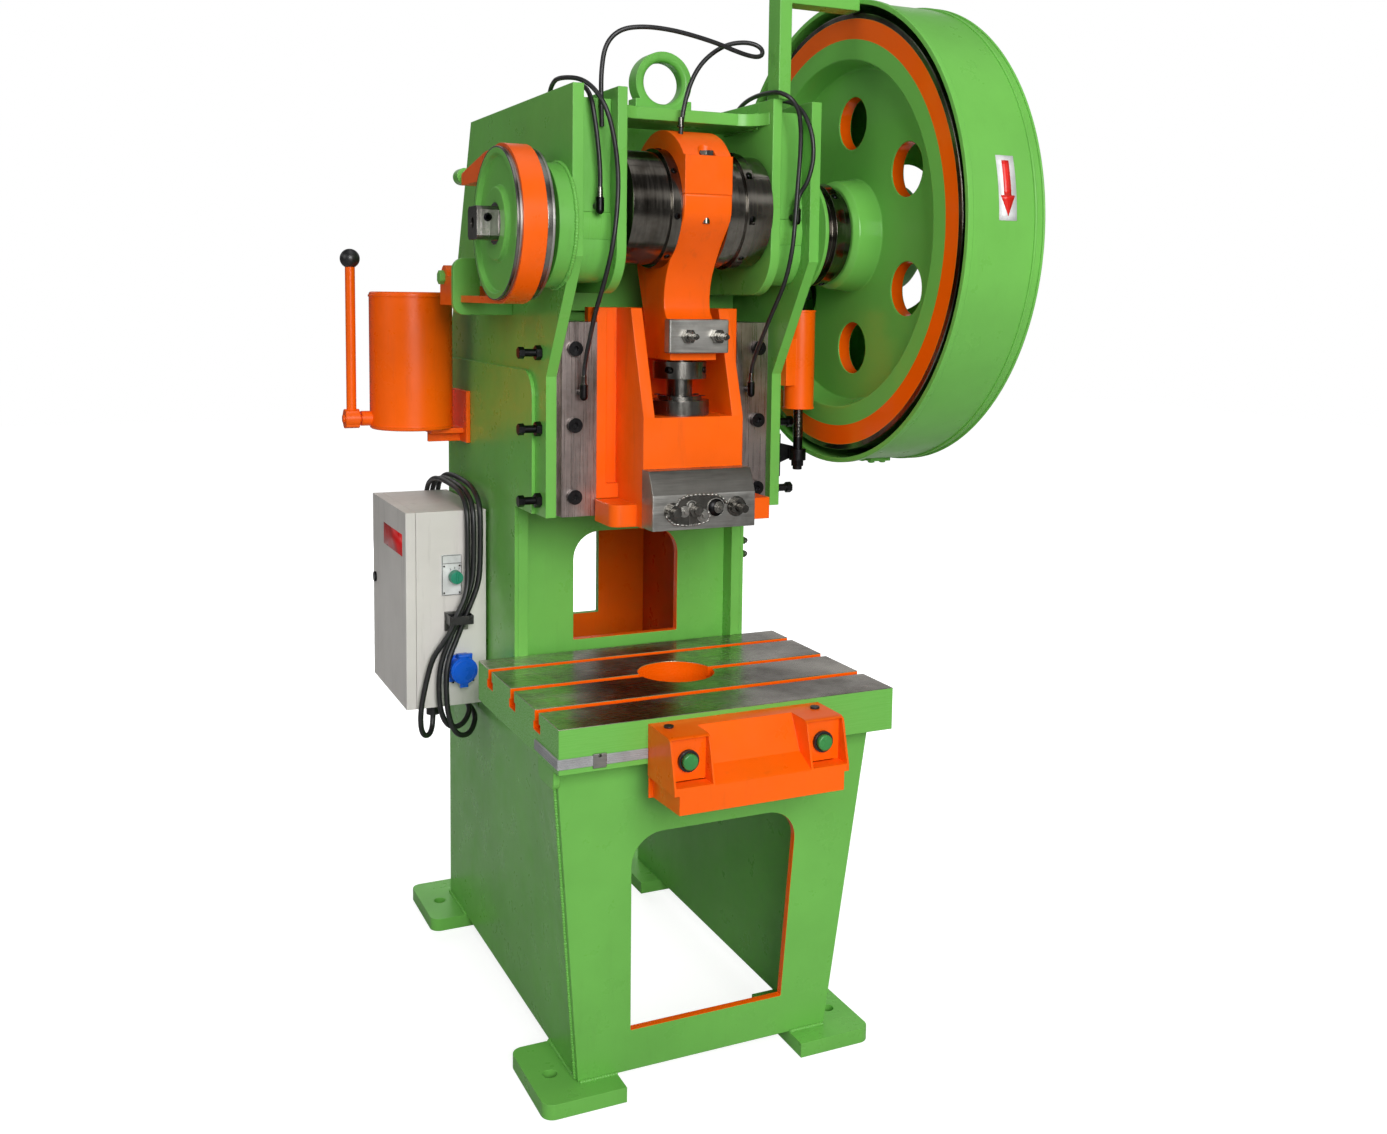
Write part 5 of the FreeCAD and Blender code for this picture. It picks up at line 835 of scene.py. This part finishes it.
def fasten(name, places, values, body, width=0.0003):  # places: (spot, aim, size)
    marks = {"aim": ("FLOAT_VECTOR", [part for place in places for part in place[1]]),
             "size": ("FLOAT", [place[2] for place in places])}
    return grow(name, fastener, [place[0] for place in places], values, body, marks=marks, width=width)


def ringAt(x, radius, steps):  # a closed circle about the shaft
    angles = [math.tau * step / steps for step in range(steps)]
    spots = [(x, shaftY + radius * math.cos(angle), shaftZ + radius * math.sin(angle)) for angle in angles]
    return spots + spots[:1]


def mirrored(line):
    return [(-x, y, z) for x, y, z in line]


# Weld beads on the frame.
welds = {
    "radius": 0.0040, "ripple": 0.16, "pitch": 0.0055, "step": 0.0013, "foot": 0.272, "floor": 0.031, "bed": 0.6805,
    "tie": 0.1535, "tieTop": 1.8965, "tieUnder": 1.8715, "eye": (-0.033, 0.033, -0.211, -0.169),
    "housing": (-0.2640, 0.1185),
}
oneSide = [
    [(welds["foot"], -0.450, welds["floor"]), (welds["foot"], -0.304, welds["floor"])],
    [(welds["foot"], 0.316, welds["floor"]), (welds["foot"], 0.459, welds["floor"])],
    [(0.191, -0.4705, welds["floor"]), (0.269, -0.4705, welds["floor"])],
    [(0.3335, -0.498, welds["bed"]), (0.272, -0.062, welds["bed"])],
    [(0.2712, -0.4532, 0.032), (0.3332, -0.4985, 0.679)],
    [(welds["tie"], -0.329, welds["tieTop"]), (welds["tie"], -0.181, welds["tieTop"])],
    [(welds["tie"], -0.329, welds["tieUnder"]), (welds["tie"], -0.181, welds["tieUnder"])],
]
left, right, near, far = welds["eye"]
eyeFoot = [(x, y, welds["tieTop"]) for x, y in ((left, near), (left, far), (right, far), (right, near), (left, near))]
frameLines = oneSide + [mirrored(line) for line in oneSide] + [
    [(-0.331, -0.5155, welds["bed"]), (0.331, -0.5155, welds["bed"])],
    eyeFoot,
    ringAt(*welds["housing"], 120),
]
weldValues = {"Radius": welds["radius"], "Step": welds["step"], "Ripple": welds["ripple"], "Pitch": welds["pitch"],
              "Sides": 10, "Material": greenPaint}
sweep("frameWelds", frameLines, weldValues, "frame")
print("welds laid")

# Flywheel guard: rolled beads, seam clips with their bolts, and the arrow label.
guard = {
    "radius": 0.470, "beads": (0.3535, 0.500, 0.5185), "bead": 0.0026, "clipWidth": (0.436, 0.486),
    "clips": [(-0.330, 2.1325, -0.276, 2.1362), (-0.336, 1.1870, -0.306, 1.1940), (-0.300, 1.1870, -0.270, 1.1940)],
    "boltRows": (0.447, 0.475), "label": (0.4175, 0.4570), "low": 0.029, "high": 0.284, "skin": 0.0006,
    "shaft": 0.40, "tip": 0.80,  # widths of the arrow, as shares of the plate's half width
    "shaftFrom": 0.38, "shaftLong": 0.54, "tipFrom": 0.07, "tipLong": 0.31,  # shares of the plate's height
}
sweep("guardBeads", [ringAt(x, guard["radius"] + 0.0008, 220) for x in guard["beads"]],
      {"Radius": guard["bead"], "Step": 0.012, "Sides": 10, "Material": greenPaint}, "frame")
clips = bmesh.new()
left, right = guard["clipWidth"]
for near, low, far, high in guard["clips"]:
    addBlock(clips, (left, near, low), (right, far, high))
finishPiece("guardClips", clips, "frame", greenPaint, 0.0008)
clipBolts = [((x, y, 2.1360), (0, 0, 1), 0.0052) for x in guard["boltRows"] for y in (-0.318, -0.288)]
clipBolts += [((x, y, 1.1872), (0, 0, -1), 0.0075) for x in guard["boltRows"] for y in (-0.321, -0.285)]
boltLook = {"Head": 0.45, "Washer height": 0.10, "Stud length": 0.12, "Material": greenPaint}
fasten("guardClipBolts", clipBolts, boltLook, "frame")
armBolt = [((0.3465, -0.370, 2.120), (-1, 0, 0), 0.0085)]
fasten("armBolt", armBolt, {"Stud length": 0.5, "Material": greenPaint}, "frame")


def onGuard(x, angle, lift):
    far = guard["radius"] + lift
    return (x, shaftY - far * math.cos(angle), shaftZ + far * math.sin(angle))


def addStrip(work, rows, lift):  # rows: (angle, lowest x, highest x), a thin skin on the guard
    spots = [[[work.verts.new(onGuard(x, angle, height)) for x in (near, far)] for angle, near, far in rows]
             for height in (lift, lift + guard["skin"])]
    below, above = spots
    for index in range(len(rows) - 1):
        for layer in spots:
            work.faces.new((layer[index][0], layer[index][1], layer[index + 1][1], layer[index + 1][0]))
        for side in (0, 1):
            work.faces.new((below[index][side], below[index + 1][side], above[index + 1][side], above[index][side]))
    for end in (0, -1):
        work.faces.new((below[end][0], below[end][1], above[end][1], above[end][0]))


left, right = guard["label"]
low, high = guard["low"], guard["high"]  # angles above the level
tall = high - low
middle, half = (left + right) / 2, (right - left) / 2
plateSkin, arrowSkin = bmesh.new(), bmesh.new()
addStrip(plateSkin, [(low + tall * step / 12, left, right) for step in range(13)], 0.0)
wide = half * guard["shaft"]
shaftRows = []
for step in range(9):
    along = guard["shaftFrom"] + guard["shaftLong"] * step / 8
    shaftRows.append((low + tall * along, middle - wide, middle + wide))
addStrip(arrowSkin, shaftRows, guard["skin"])
tipRows = []
for step in range(6):
    along = guard["tipFrom"] + guard["tipLong"] * step / 5
    wide = half * guard["tip"] * max(step / 5, 0.02)  # the point keeps a little width
    tipRows.append((low + tall * along, middle - wide, middle + wide))
addStrip(arrowSkin, tipRows, guard["skin"])
finishPiece("arrowPlate", plateSkin, "frame", whitePlate)
finishPiece("arrowMark", arrowSkin, "frame", redInk)
print("guard dressed")

# Connecting rod: an S-curved body under the split of its eye, in place of the CAD's straight knees.
rodShape = {
    "half": 0.050, "eye": (-0.303, 1.704), "bore": 0.1003, "split": 1.727, "steps": 40,
    "front": [(-0.428, 1.727), (-0.428, 1.700), (-0.424, 1.682), (-0.410, 1.662), (-0.390, 1.640), (-0.368, 1.612),
              (-0.348, 1.582), (-0.338, 1.556), (-0.334, 1.530), (-0.336, 1.506), (-0.350, 1.488), (-0.368, 1.480),
              (-0.368, 1.408)],
    "back": [(-0.238, 1.408), (-0.238, 1.480), (-0.228, 1.508), (-0.215, 1.540), (-0.202, 1.572), (-0.192, 1.604),
             (-0.184, 1.644), (-0.178, 1.690), (-0.178, 1.727)]}


def rounded(points, times=2):  # cuts corners, ends kept
    for _ in range(times):
        cutLine = [points[0]]
        for first, second in zip(points, points[1:]):
            for share in (0.25, 0.75):
                cutLine.append(tuple(a + (b - a) * share for a, b in zip(first, second)))
        points = cutLine + [points[-1]]
    return points


y, z = rodShape["eye"]
chord = math.acos((rodShape["split"] - z) / rodShape["bore"])
angles = [chord + (math.tau - 2 * chord) * step / rodShape["steps"] for step in range(rodShape["steps"] + 1)]
arc = [(y + rodShape["bore"] * math.sin(angle), z + rodShape["bore"] * math.cos(angle)) for angle in angles]
outline = rounded(rodShape["front"]) + rounded(rodShape["back"]) + arc
work = bmesh.new()
addPrism(work, outline, 0, -rodShape["half"], rodShape["half"])
rodBody = finishPiece("connectingRodBody", work, "ram", orangeCast, 0.0060)
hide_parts("connecting_rod")

# Back wall of the head, seen behind the sleeve on both sides of the rod.
headWall = {"half": 0.2405, "front": -0.0595, "back": -0.0460, "low": 1.4995, "high": 1.9150,
            "ledgeBack": -0.0102, "ledgeTop": 1.5120}
half, low = headWall["half"], headWall["low"]
wall = bmesh.new()
addBlock(wall, (-half, headWall["front"], low), (half, headWall["back"], headWall["high"]))
addBlock(wall, (-half, headWall["back"] - 0.001, low), (half, headWall["ledgeBack"], headWall["ledgeTop"]))
finishPiece("headWall", wall, "frame", greenPaint, 0.0015)

# Tool clamp: the sockets, with a black fill as painted shade for their depth, the cast rim round them, nuts and discs
# on its face.
outward = (0, -1, 0)  # the way a screw on a front face looks
clampRim = {
    "face": -0.4290, "proud": 0.0022, "let": 0.0010, "radius": 0.0022, "ripple": 0.32, "pitch": 0.009,
    "arch": [(-0.0673, 1.0961), (-0.0822, 1.1105), (-0.0770, 1.1240), (-0.0600, 1.1340), (-0.0540, 1.1440),
             (-0.0363, 1.1500), (-0.0172, 1.1512), (0.0050, 1.1505), (0.0239, 1.1490), (0.0372, 1.1430),
             (0.0483, 1.1309)],
    "low": [(-0.0673, 1.0961), (-0.0396, 1.0915), (-0.0097, 1.0936), (0.0060, 1.0985), (0.0110, 1.1090),
            (0.0060, 1.1170), (-0.0110, 1.1200)],
}
face = clampRim["face"]
front = face - clampRim["proud"]
boss = bmesh.new()
addPrism(boss, clampRim["arch"] + clampRim["low"][:0:-1], 1, front, face + clampRim["let"])
finishPiece("clampBoss", boss, "ram", turnedSteel, 0.0010)
rimLines = [[(x, front, z) for x, z in clampRim[part]] for part in ("arch", "low")]
rimLook = {"Radius": clampRim["radius"], "Ripple": clampRim["ripple"], "Pitch": clampRim["pitch"],
           "Material": plateSteel}
sweep("clampRim", rimLines, rimLook, "ram")

sockets = {"spots": [(-0.0290, 1.1290, 0.0092), (0.0230, 1.1240, 0.0170)],
           "rim": 0.0022, "proud": 0.0040, "root": -0.004, "fit": 0.0004, "well": 0.0028}
cups, wells = bmesh.new(), bmesh.new()
for x, z, radius in sockets["spots"]:
    root, proud, well = sockets["root"], sockets["proud"], sockets["well"]
    edge, filled = radius + sockets["rim"], radius + sockets["fit"]
    addLathe(cups, [(radius, root), (edge, root), (edge, proud), (radius, proud)], (x, face, z), outward)
    addLathe(wells, [(0, root), (filled, root), (filled, well), (0, well)], (x, face, z), outward)
finishPiece("clampCups", cups, "ram", plateSteel, 0.0004)
# The black fill in each socket is painted shade for the socket's depth.
finishPiece("clampWellShades", wells, "ram", blackSteel)

clampNuts = {
    "places": [((-0.0290, -0.4318, 1.1290), outward, 0.0058), ((0.0290, -0.4318, 1.1240), (0.25, -1, 0), 0.0090),
               ((-0.0050, -0.4310, 1.1100), outward, 0.0100), ((-0.0440, -0.4310, 1.1190), outward, 0.0085)],
    "look": {"Sides": 28, "Head": 0.35, "Washer": 1.3, "Stud": 0.5, "Stud length": 0.7, "Material": plateSteel},
}
fasten("clampNuts", clampNuts["places"], clampNuts["look"], "ram")
studNuts = {
    "places": [((0.0682, -0.4290, 1.1240), outward, 0.0165), ((-0.0682, -0.4290, 1.1195), outward, 0.0150)],
    "look": {"Head": 0.75, "Washer": 1.22, "Washer height": 0.14, "Material": turnedSteel},
}
fasten("clampStudNuts", studNuts["places"], studNuts["look"], "ram")
plateStuds = {
    "places": [((0.0371, -0.4170, 1.4560), outward, 0.0068), ((-0.0256, -0.4170, 1.4560), outward, 0.0060)],
    "look": {"Sides": 24, "Head": 2.6, "Washer": 1.25, "Washer height": 0.5, "Stud": 0.7, "Stud length": 0.9,
             "Material": turnedSteel},
}
fasten("clampPlateStuds", plateStuds["places"], plateStuds["look"], "ram")
print("tool clamp dressed")

# Screws round the shaft, round the rod's upright screw, on the tie plate and on the frame's side.


def roundShaft(facts, height=shaftZ):
    places = []
    for x in facts["x"]:
        for angle in [math.radians(turn) for turn in facts["turns"]]:
            out = (0, math.cos(angle), math.sin(angle))
            spot = (x, shaftY + facts["reach"] * out[1], height + facts["reach"] * out[2])
            places.append((spot, out, facts["size"]))
    return places


def roundRod(facts, upward):
    places = []
    for angle in [math.radians(turn) for turn in facts["turns"]]:
        out = (math.cos(angle), math.sin(angle), 0)
        spot = (facts["reach"] * out[0], shaftY + facts["reach"] * out[1], facts["z"])
        places.append((spot, (0, 0, 1) if upward else out, facts["size"]))
    return places


seatBolts = {
    "reach": 0.047, "z": 1.3352, "size": 0.0058, "turns": (20, 80, 140, 200, 260, 320),
    "look": {"Sides": 24, "Head": 0.16, "Washer": 1.2, "Washer height": 0.05, "Stud": 0.5, "Material": blackSteel},
}
fasten("seatBolts", roundRod(seatBolts, True), seatBolts["look"], "ram", 0.0003)
ringScrews = {
    "x": (-0.0602, 0.1004), "reach": 0.1163, "size": 0.0050, "turns": range(10, 370, 45), "z": 1.704,
    "look": {"Sides": 24, "Head": 0.12, "Washer": 1.25, "Washer height": 0.04, "Material": blackSteel},
}
ringPlaces = roundShaft(ringScrews, ringScrews["z"])
fasten("ringScrews", ringPlaces, ringScrews["look"], "sleeve", 0.0)
collarScrews = {
    "x": (0.308,), "reach": 0.1063, "size": 0.0055, "turns": (15, 135, 255),
    "look": {"Sides": 24, "Head": 0.15, "Washer": 1.3, "Washer height": 0.05, "Material": blackSteel},
}
fasten("collarScrews", roundShaft(collarScrews), collarScrews["look"], "crankshaft", 0.0)
# Thin black discs on the upright screw stand for its holes: painted shade.
screwHoles = {
    "reach": 0.0545, "z": 1.3880, "size": 0.0052, "turns": (40, 130, 220, 310),
    "look": {"Sides": 20, "Head": 0.06, "Washer": 1.3, "Washer height": 0.02, "Material": blackSteel},
}
fasten("screwHoles", roundRod(screwHoles, False), screwHoles["look"], "ram", 0.0)
tieScrews = [((x, -0.3305, 1.8840), outward, 0.0042) for x in (-0.128, 0.128)]
tieScrews += [((x, -0.205, 1.8965), (0, 0, 1), 0.0042) for x in (-0.140, 0.140)]
fasten("tieScrews", tieScrews, {"Head": 0.5, "Material": turnedSteel}, "frame")
coverBolts = {"places": [((0.3335, 0.050, z), (1, 0, 0), 0.0070) for z in (0.958, 0.926)],
              "look": {"Head": 0.7, "Stud length": 0.35, "Material": turnedSteel}}
fasten("coverBolts", coverBolts["places"], coverBolts["look"], "frame")
print("screws set")


def addBand(work, inner, outer, low, high, centre, aim, steps=48):  # a plain ring of square section
    addLathe(work, [(inner, low), (outer, low), (outer, high), (inner, high)], centre, aim, steps)


# Clutch trip rod: its thread below the can, which ends above the bracket's eye when the rod is down.
thread = {"x": 0.308, "y": -0.245, "low": 1.2360, "tall": 0.0600, "radius": 0.0099, "wire": 0.0009, "pitch": 0.0030}
threadLook = {"Turns": thread["tall"] / thread["pitch"], "Radius": thread["radius"], "Height": thread["tall"],
              "Wire": thread["wire"], "Place": (thread["x"], thread["y"], thread["low"]), "Material": turnedSteel}
grow("tripThread", coiler, [(0, 0, 0)], threadLook, "trip_rod")
can = {"rims": (1.2990, 1.5050), "inner": 0.0300, "outer": 0.0334, "half": 0.0022}
canRims = bmesh.new()
for z in can["rims"]:
    addBand(canRims, can["inner"], can["outer"], -can["half"], can["half"], (thread["x"], thread["y"], z), (0, 0, 1))
finishPiece("canRims", canRims, "frame", orangePaint, 0.0009)

# Oil tank: its lid seam and foot ring; the block at the lever's foot.
tank = {"x": -0.394, "y": 0.325, "inner": 0.092, "rims": ((1.5230, 1.5285, 0.0958), (1.2290, 1.2335, 0.0952))}
rims = bmesh.new()
for low, high, outer in tank["rims"]:
    addBand(rims, tank["inner"], outer, low, high, (tank["x"], tank["y"], 0), (0, 0, 1), 96)
finishPiece("tankRims", rims, "frame", orangePaint, 0.0010)
leverBlock = bmesh.new()
addBlock(leverBlock, (-0.5465, 0.3075, 1.2280), (-0.5155, 0.3425, 1.2660))
finishPiece("leverBlock", leverBlock, "pump_lever", orangePaint, 0.0030)

# Electric box: bare red plate, latch plate with its rivets.
box = {"side": -0.4566, "front": 0.125, "label": (0.158, 0.341, 0.954, 1.003),
       "latch": (-0.372, -0.318, 0.786, 0.830)}
near, far, low, high = box["label"]
label = bmesh.new()
addBlock(label, (box["side"] - 0.0005, near, low), (box["side"] + 0.0002, far, high))
finishPiece("doorLabel", label, "door", redLabel)
near, far, low, high = box["latch"]
front = box["front"]
latch = bmesh.new()
addBlock(latch, (near, front - 0.0025, low), (far, front + 0.0005, high))
addBlock(latch, (near + 0.008, front - 0.0045, low + 0.010), (near + 0.020, front - 0.0015, high - 0.010))
finishPiece("latchPlate", latch, "frame", plateSteel, 0.0008)
smallScrew = {"Sides": 20, "Washer": 1.0, "Washer height": 0.05, "Material": turnedSteel}
rivets = [((far - 0.010, front - 0.0024, z), outward, 0.0032) for z in (low + 0.009, high - 0.009)]
rivetLook = {**smallScrew, "Head": 0.35, "Stud": 0.6, "Stud length": 0.1}
fasten("latchRivets", rivets, rivetLook, "frame")

# Switch plate: its printed frame and three marks, its screws, and the knob's grip.
plate = {"left": -0.378, "right": -0.333, "low": 0.867, "high": 0.958, "face": 0.119, "inset": 0.0012, "head": 0.019,
         "knob": (-0.349, 0.909), "marks": (60, 90, 120), "markFrom": 0.0175, "markTo": 0.0215, "line": 0.0005}
left, right = plate["left"] + plate["inset"], plate["right"] - plate["inset"]
low, high = plate["low"] + plate["inset"], plate["high"] - plate["inset"]
front = plate["face"] - 0.0001
corners = [(left, low), (right, low), (right, high), (left, high), (left, low)]
marks = [[(x, front, z) for x, z in corners]]
marks.append([(x, front, plate["high"] - plate["head"]) for x in (left, right)])
for angle in [math.radians(turn) for turn in plate["marks"]]:
    x, z = plate["knob"]
    marks.append([(x + radius * math.cos(angle), front, z + radius * math.sin(angle))
                  for radius in (plate["markFrom"], plate["markTo"])])
lineLook = {"Radius": plate["line"], "Step": 0.004, "Sides": 8, "Material": blackPlastic}
sweep("switchLines", marks, lineLook, "frame")
screws = [((x, plate["face"], z), outward, 0.0020) for x in (-0.373, -0.338) for z in (0.873, 0.933)]
screwLook = {**smallScrew, "Head": 0.35, "Stud": 0.5, "Stud length": 0.05}
fasten("switchScrews", screws, screwLook, "frame")
gripRidge = bmesh.new()
addBlock(gripRidge, (-0.3515, 0.0965, 0.8965), (-0.3465, 0.1020, 0.9215))
finishPiece("knobRidge", gripRidge, "switch_knob", tealPlastic, 0.0010)

# Blue socket: two screws and the ring on its lid.
socket = {"screws": [((x, 0.0990, 0.675), outward, 0.0022) for x in (-0.359, -0.313)],
          "ring": (0.0225, 0.0255, -0.0012, 0.0008), "lid": (-0.336, 0.0892, 0.699)}
fasten("socketScrews", socket["screws"], {**smallScrew, "Head": 0.3}, "frame")
lidRing = bmesh.new()
addBand(lidRing, *socket["ring"], socket["lid"], outward, 64)
finishPiece("lidRing", lidRing, "socket_lid", bluePlastic, 0.0006)

# Flat conduit: its ribs, steel clip, and the small tab under the bolster's corner.
conduit = {"side": -0.3532, "front": -0.5782, "low": 0.6949, "ribs": 5, "gap": 0.0038, "rib": 0.0009,
           "back": -0.449, "end": -0.179, "corner": (-0.3515, -0.5765)}
ribs = []
for z in [conduit["low"] + index * conduit["gap"] for index in range(conduit["ribs"])]:
    cornerX, cornerY = conduit["corner"]
    ribs.append([(conduit["side"], conduit["back"], z), (conduit["side"], cornerY, z),
                 (cornerX, conduit["front"], z), (conduit["end"], conduit["front"], z)])
ribLook = {"Radius": conduit["rib"], "Step": 0.003, "Sides": 8, "Material": greyConduit}
sweep("conduitRibs", ribs, ribLook, "frame")
clip = bmesh.new()
addBlock(clip, (-0.2860, -0.5800, 0.6885), (-0.2600, -0.5755, 0.7150))
finishPiece("conduitClip", clip, "frame", plateSteel, 0.0012)
clipScrew = [((-0.2730, -0.5800, 0.7115), outward, 0.0026)]
clipLook = {"Sides": 20, "Head": 0.4, "Stud": 0.5, "Material": turnedSteel}
fasten("clipScrew", clipScrew, clipLook, "frame")
corner = {"low": 0.640, "high": 0.6825, "near": -0.542, "far": -0.452, "round": 0.020, "left": -0.3480,
          "right": -0.3340}
tabOutline = [(corner["near"], corner["high"]), (corner["far"], corner["high"])]
for centreY, start in ((corner["far"] - corner["round"], 0), (corner["near"] + corner["round"], 90)):
    for angle in [math.radians(-start - step * 15) for step in range(7)]:
        y = centreY + corner["round"] * math.cos(angle)
        z = corner["low"] + corner["round"] + corner["round"] * math.sin(angle)
        tabOutline.append((y, z))
tab = bmesh.new()
addPrism(tab, tabOutline, 0, corner["left"], corner["right"])
finishPiece("cornerTab", tab, "frame", greenPaint, 0.0030)

# Hose ends: bright ferrules, and a nut on each fitting.
ferrules = {
    "size": 0.0056, "nut": 0.0078,
    "ends": [((-0.2040, -0.3820, 1.7150), (0, 0, 1)), ((0.2180, -0.3820, 1.7090), (0, 0, 1)),
             ((-0.1920, -0.2690, 1.3560), (0, 0, 1)), ((0.1800, -0.2690, 1.3560), (0, 0, 1)),
             ((-0.2250, -0.1120, 1.9130), outward), ((-0.2020, -0.1120, 1.9130), outward),
             ((0.2000, -0.1127, 1.9130), outward), ((0.2160, -0.1120, 1.9130), outward)],
    "look": {"Sides": 24, "Head": 2.6, "Washer": 1.18, "Washer height": 0.5, "Stud": 0.95, "Stud length": 0.4,
             "Material": turnedSteel},
    "rodEnd": (-0.0280, -0.3560, 1.8580),
}
ends = [(spot, aim, ferrules["size"]) for spot, aim in ferrules["ends"]]
fasten("hoseFerrules", ends, ferrules["look"], "frame")
nuts = [(spot, tuple(-part for part in aim), ferrules["nut"]) for spot, aim in ferrules["ends"][:4]]
fasten("hoseNuts", nuts, {"Head": 0.7, "Washer": 1.1, "Material": blackSteel}, "frame")
rodLook = {**ferrules["look"], "Head": 2.4, "Washer": 1.3, "Washer height": 0.6}
fasten("rodHoseFerrule", [(ferrules["rodEnd"], (0, 0, 1), ferrules["size"])], rodLook, "ram")

# Tie plate: the flared corners where it meets the cheek plates.
flare = {"reach": 0.050, "deep": 0.052, "low": 1.8722, "high": 1.8958, "front": -0.3295, "edge": 0.1535}
for side, word in ((-1, "Left"), (1, "Right")):
    spots = [(side * flare["edge"], flare["front"] - flare["deep"])]
    for angle in [math.pi / 2 * step / 10 for step in range(1, 10)]:
        inward = flare["reach"] * (1 - math.cos(angle))
        forward = flare["deep"] * (1 - math.sin(angle))
        spots.append((side * (flare["edge"] - inward), flare["front"] - forward))
    spots.append((side * (flare["edge"] - flare["reach"]), flare["front"]))
    spots.append((side * flare["edge"], flare["front"]))
    work = bmesh.new()
    addPrism(work, spots, 2, flare["low"], flare["high"])
    finishPiece("tieFlare" + word, work, "frame", greenPaint, 0.0015)

# Brake: rims of the drum beside the band, and a thin black disc as painted shade for the hole in the shaft's end.
brake = {
    "rims": ((-0.3850, -0.3790), (-0.3280, -0.3180)), "inner": 0.1405, "outer": 0.1432,
    "hole": ((-0.4065, -0.3343, 1.6740), outward, 0.0080),
    "look": {"Sides": 28, "Head": 0.02, "Washer": 1.0, "Washer height": 0.02, "Stud": 0.5, "Material": blackSteel},
}
drumRims = bmesh.new()
for low, high in brake["rims"]:
    addBand(drumRims, brake["inner"], brake["outer"], low, high, (0, shaftY, shaftZ), (1, 0, 0), 128)
finishPiece("drumRims", drumRims, "crankshaft", turnedSteel, 0.0008)
# The black disc stands in for the shaded hole in the shaft's end: painted shade.
fasten("shaftHoleShade", [brake["hole"]], brake["look"], "crankshaft", 0.0)
print("details finished")


# Floor, backdrop and lamps.
studio = {
    "floorHalf": 14.0, "floorColour": (0.42, 0.42, 0.42), "lift": 0.80, "near": 0.9, "far": 2.6,
    "air": 0.18, "mirror": 0.60, "roomGlow": 0.16,
    "levelStrip": (0.26, 0.50, 0.06), "levelGlow": 0.95,  # from, to, softness
    "uprightStrip": (0.04, 0.22, 0.05), "uprightGlow": 0.75,
    "aim": (0, -0.2, 1.0),
}
lamps = {  # place, power in watts, side of the square, and whether metal reflects it
    "keyLamp": ((-0.8, -5.4, 2.9), 258, 2.6, True),
    "fillLamp": ((-5.2, -1.2, 3.2), 47, 3.0, True),
    "topLamp": ((0.2, -0.6, 5.6), 30, 3.5, True),
    "backLamp": ((0.8, 5.4, 1.8), 205, 2.6, False),
    "rightLamp": ((5.4, 0.4, 2.9), 110, 3.0, False),
}


def makeFloor():
    half = studio["floorHalf"]
    mesh = bpy.data.meshes.new("studioFloor")
    mesh.from_pydata([(-half, -half, 0), (half, -half, 0), (half, half, 0), (-half, half, 0)], [], [(0, 1, 2, 3)])
    floor = bpy.data.objects.new("studioFloor", mesh)
    scene.collection.objects.link(floor)
    material = bpy.data.materials.new("studioFloor")
    material.use_nodes = True
    tree = material.node_tree
    tree.nodes.clear()
    seen = add(tree, "ShaderNodeLightPath").outputs["Is Camera Ray"]
    matte = add(tree, "ShaderNodeBsdfDiffuse", {"Color": (*studio["floorColour"], 1)}).outputs[0]
    place = add(tree, "ShaderNodeTexCoord").outputs["Object"]
    away = add(tree, "ShaderNodeVectorMath", {0: place}, operation="LENGTH").outputs["Value"]
    lift = product(tree, seen, spread(tree, away, studio["near"], studio["far"], studio["lift"], 1.0))
    glow = add(tree, "ShaderNodeEmission", {"Color": (1, 1, 1, 1), "Strength": lift})
    both = add(tree, "ShaderNodeAddShader", {0: matte, 1: glow.outputs[0]})
    add(tree, "ShaderNodeOutputMaterial", {"Surface": both.outputs[0]})
    mesh.materials.append(material)


def makeWorld():
    world = bpy.data.worlds.new("studioAir")
    scene.world = world
    world.use_nodes = True
    tree = world.node_tree
    tree.nodes.clear()
    path = add(tree, "ShaderNodeLightPath").outputs
    direction = add(tree, "ShaderNodeTexCoord").outputs["Generated"]
    heading = axes(tree, direction)
    # What mirrors see of the room: dark, with one level strip of light and one upright strip.
    level = product(tree, between(tree, heading[2], *studio["levelStrip"]), studio["levelGlow"])
    upright = product(tree, between(tree, heading[0], *studio["uprightStrip"]), studio["uprightGlow"])
    room = maths(tree, "ADD", maths(tree, "MAXIMUM", level, upright), studio["roomGlow"])
    flat = add(tree, "ShaderNodeBackground", {"Color": (1, 1, 1, 1), "Strength": studio["air"]}).outputs[0]
    dim = maths(tree, "MULTIPLY", room, studio["mirror"])
    mirror = add(tree, "ShaderNodeBackground", {"Color": (1, 1, 1, 1), "Strength": dim}).outputs[0]
    plain = add(tree, "ShaderNodeBackground", {"Color": (1, 1, 1, 1), "Strength": 1.0}).outputs[0]
    mixed = add(tree, "ShaderNodeMixShader", {0: path["Is Glossy Ray"], 1: flat, 2: mirror}).outputs[0]
    clear = maths(tree, "MAXIMUM", path["Is Camera Ray"], path["Is Transmission Ray"])
    last = add(tree, "ShaderNodeMixShader", {0: clear, 1: mixed, 2: plain}).outputs[0]
    add(tree, "ShaderNodeOutputWorld", {"Surface": last})


def makeLamp(name, place, power, size, shiny):
    data = bpy.data.lights.new(name, "AREA")
    data.energy = power
    data.shape = "SQUARE"
    data.size = size
    lamp = bpy.data.objects.new(name, data)
    turn = (Vector(studio["aim"]) - Vector(place)).to_track_quat("-Z", "Y").to_matrix().to_4x4()
    lamp.matrix_world = Matrix.Translation(place) @ turn
    lamp.visible_camera = False
    lamp.visible_glossy = shiny
    scene.collection.objects.link(lamp)


makeFloor()
makeWorld()
for name, facts in lamps.items():
    makeLamp(name, *facts)
print("studio set")
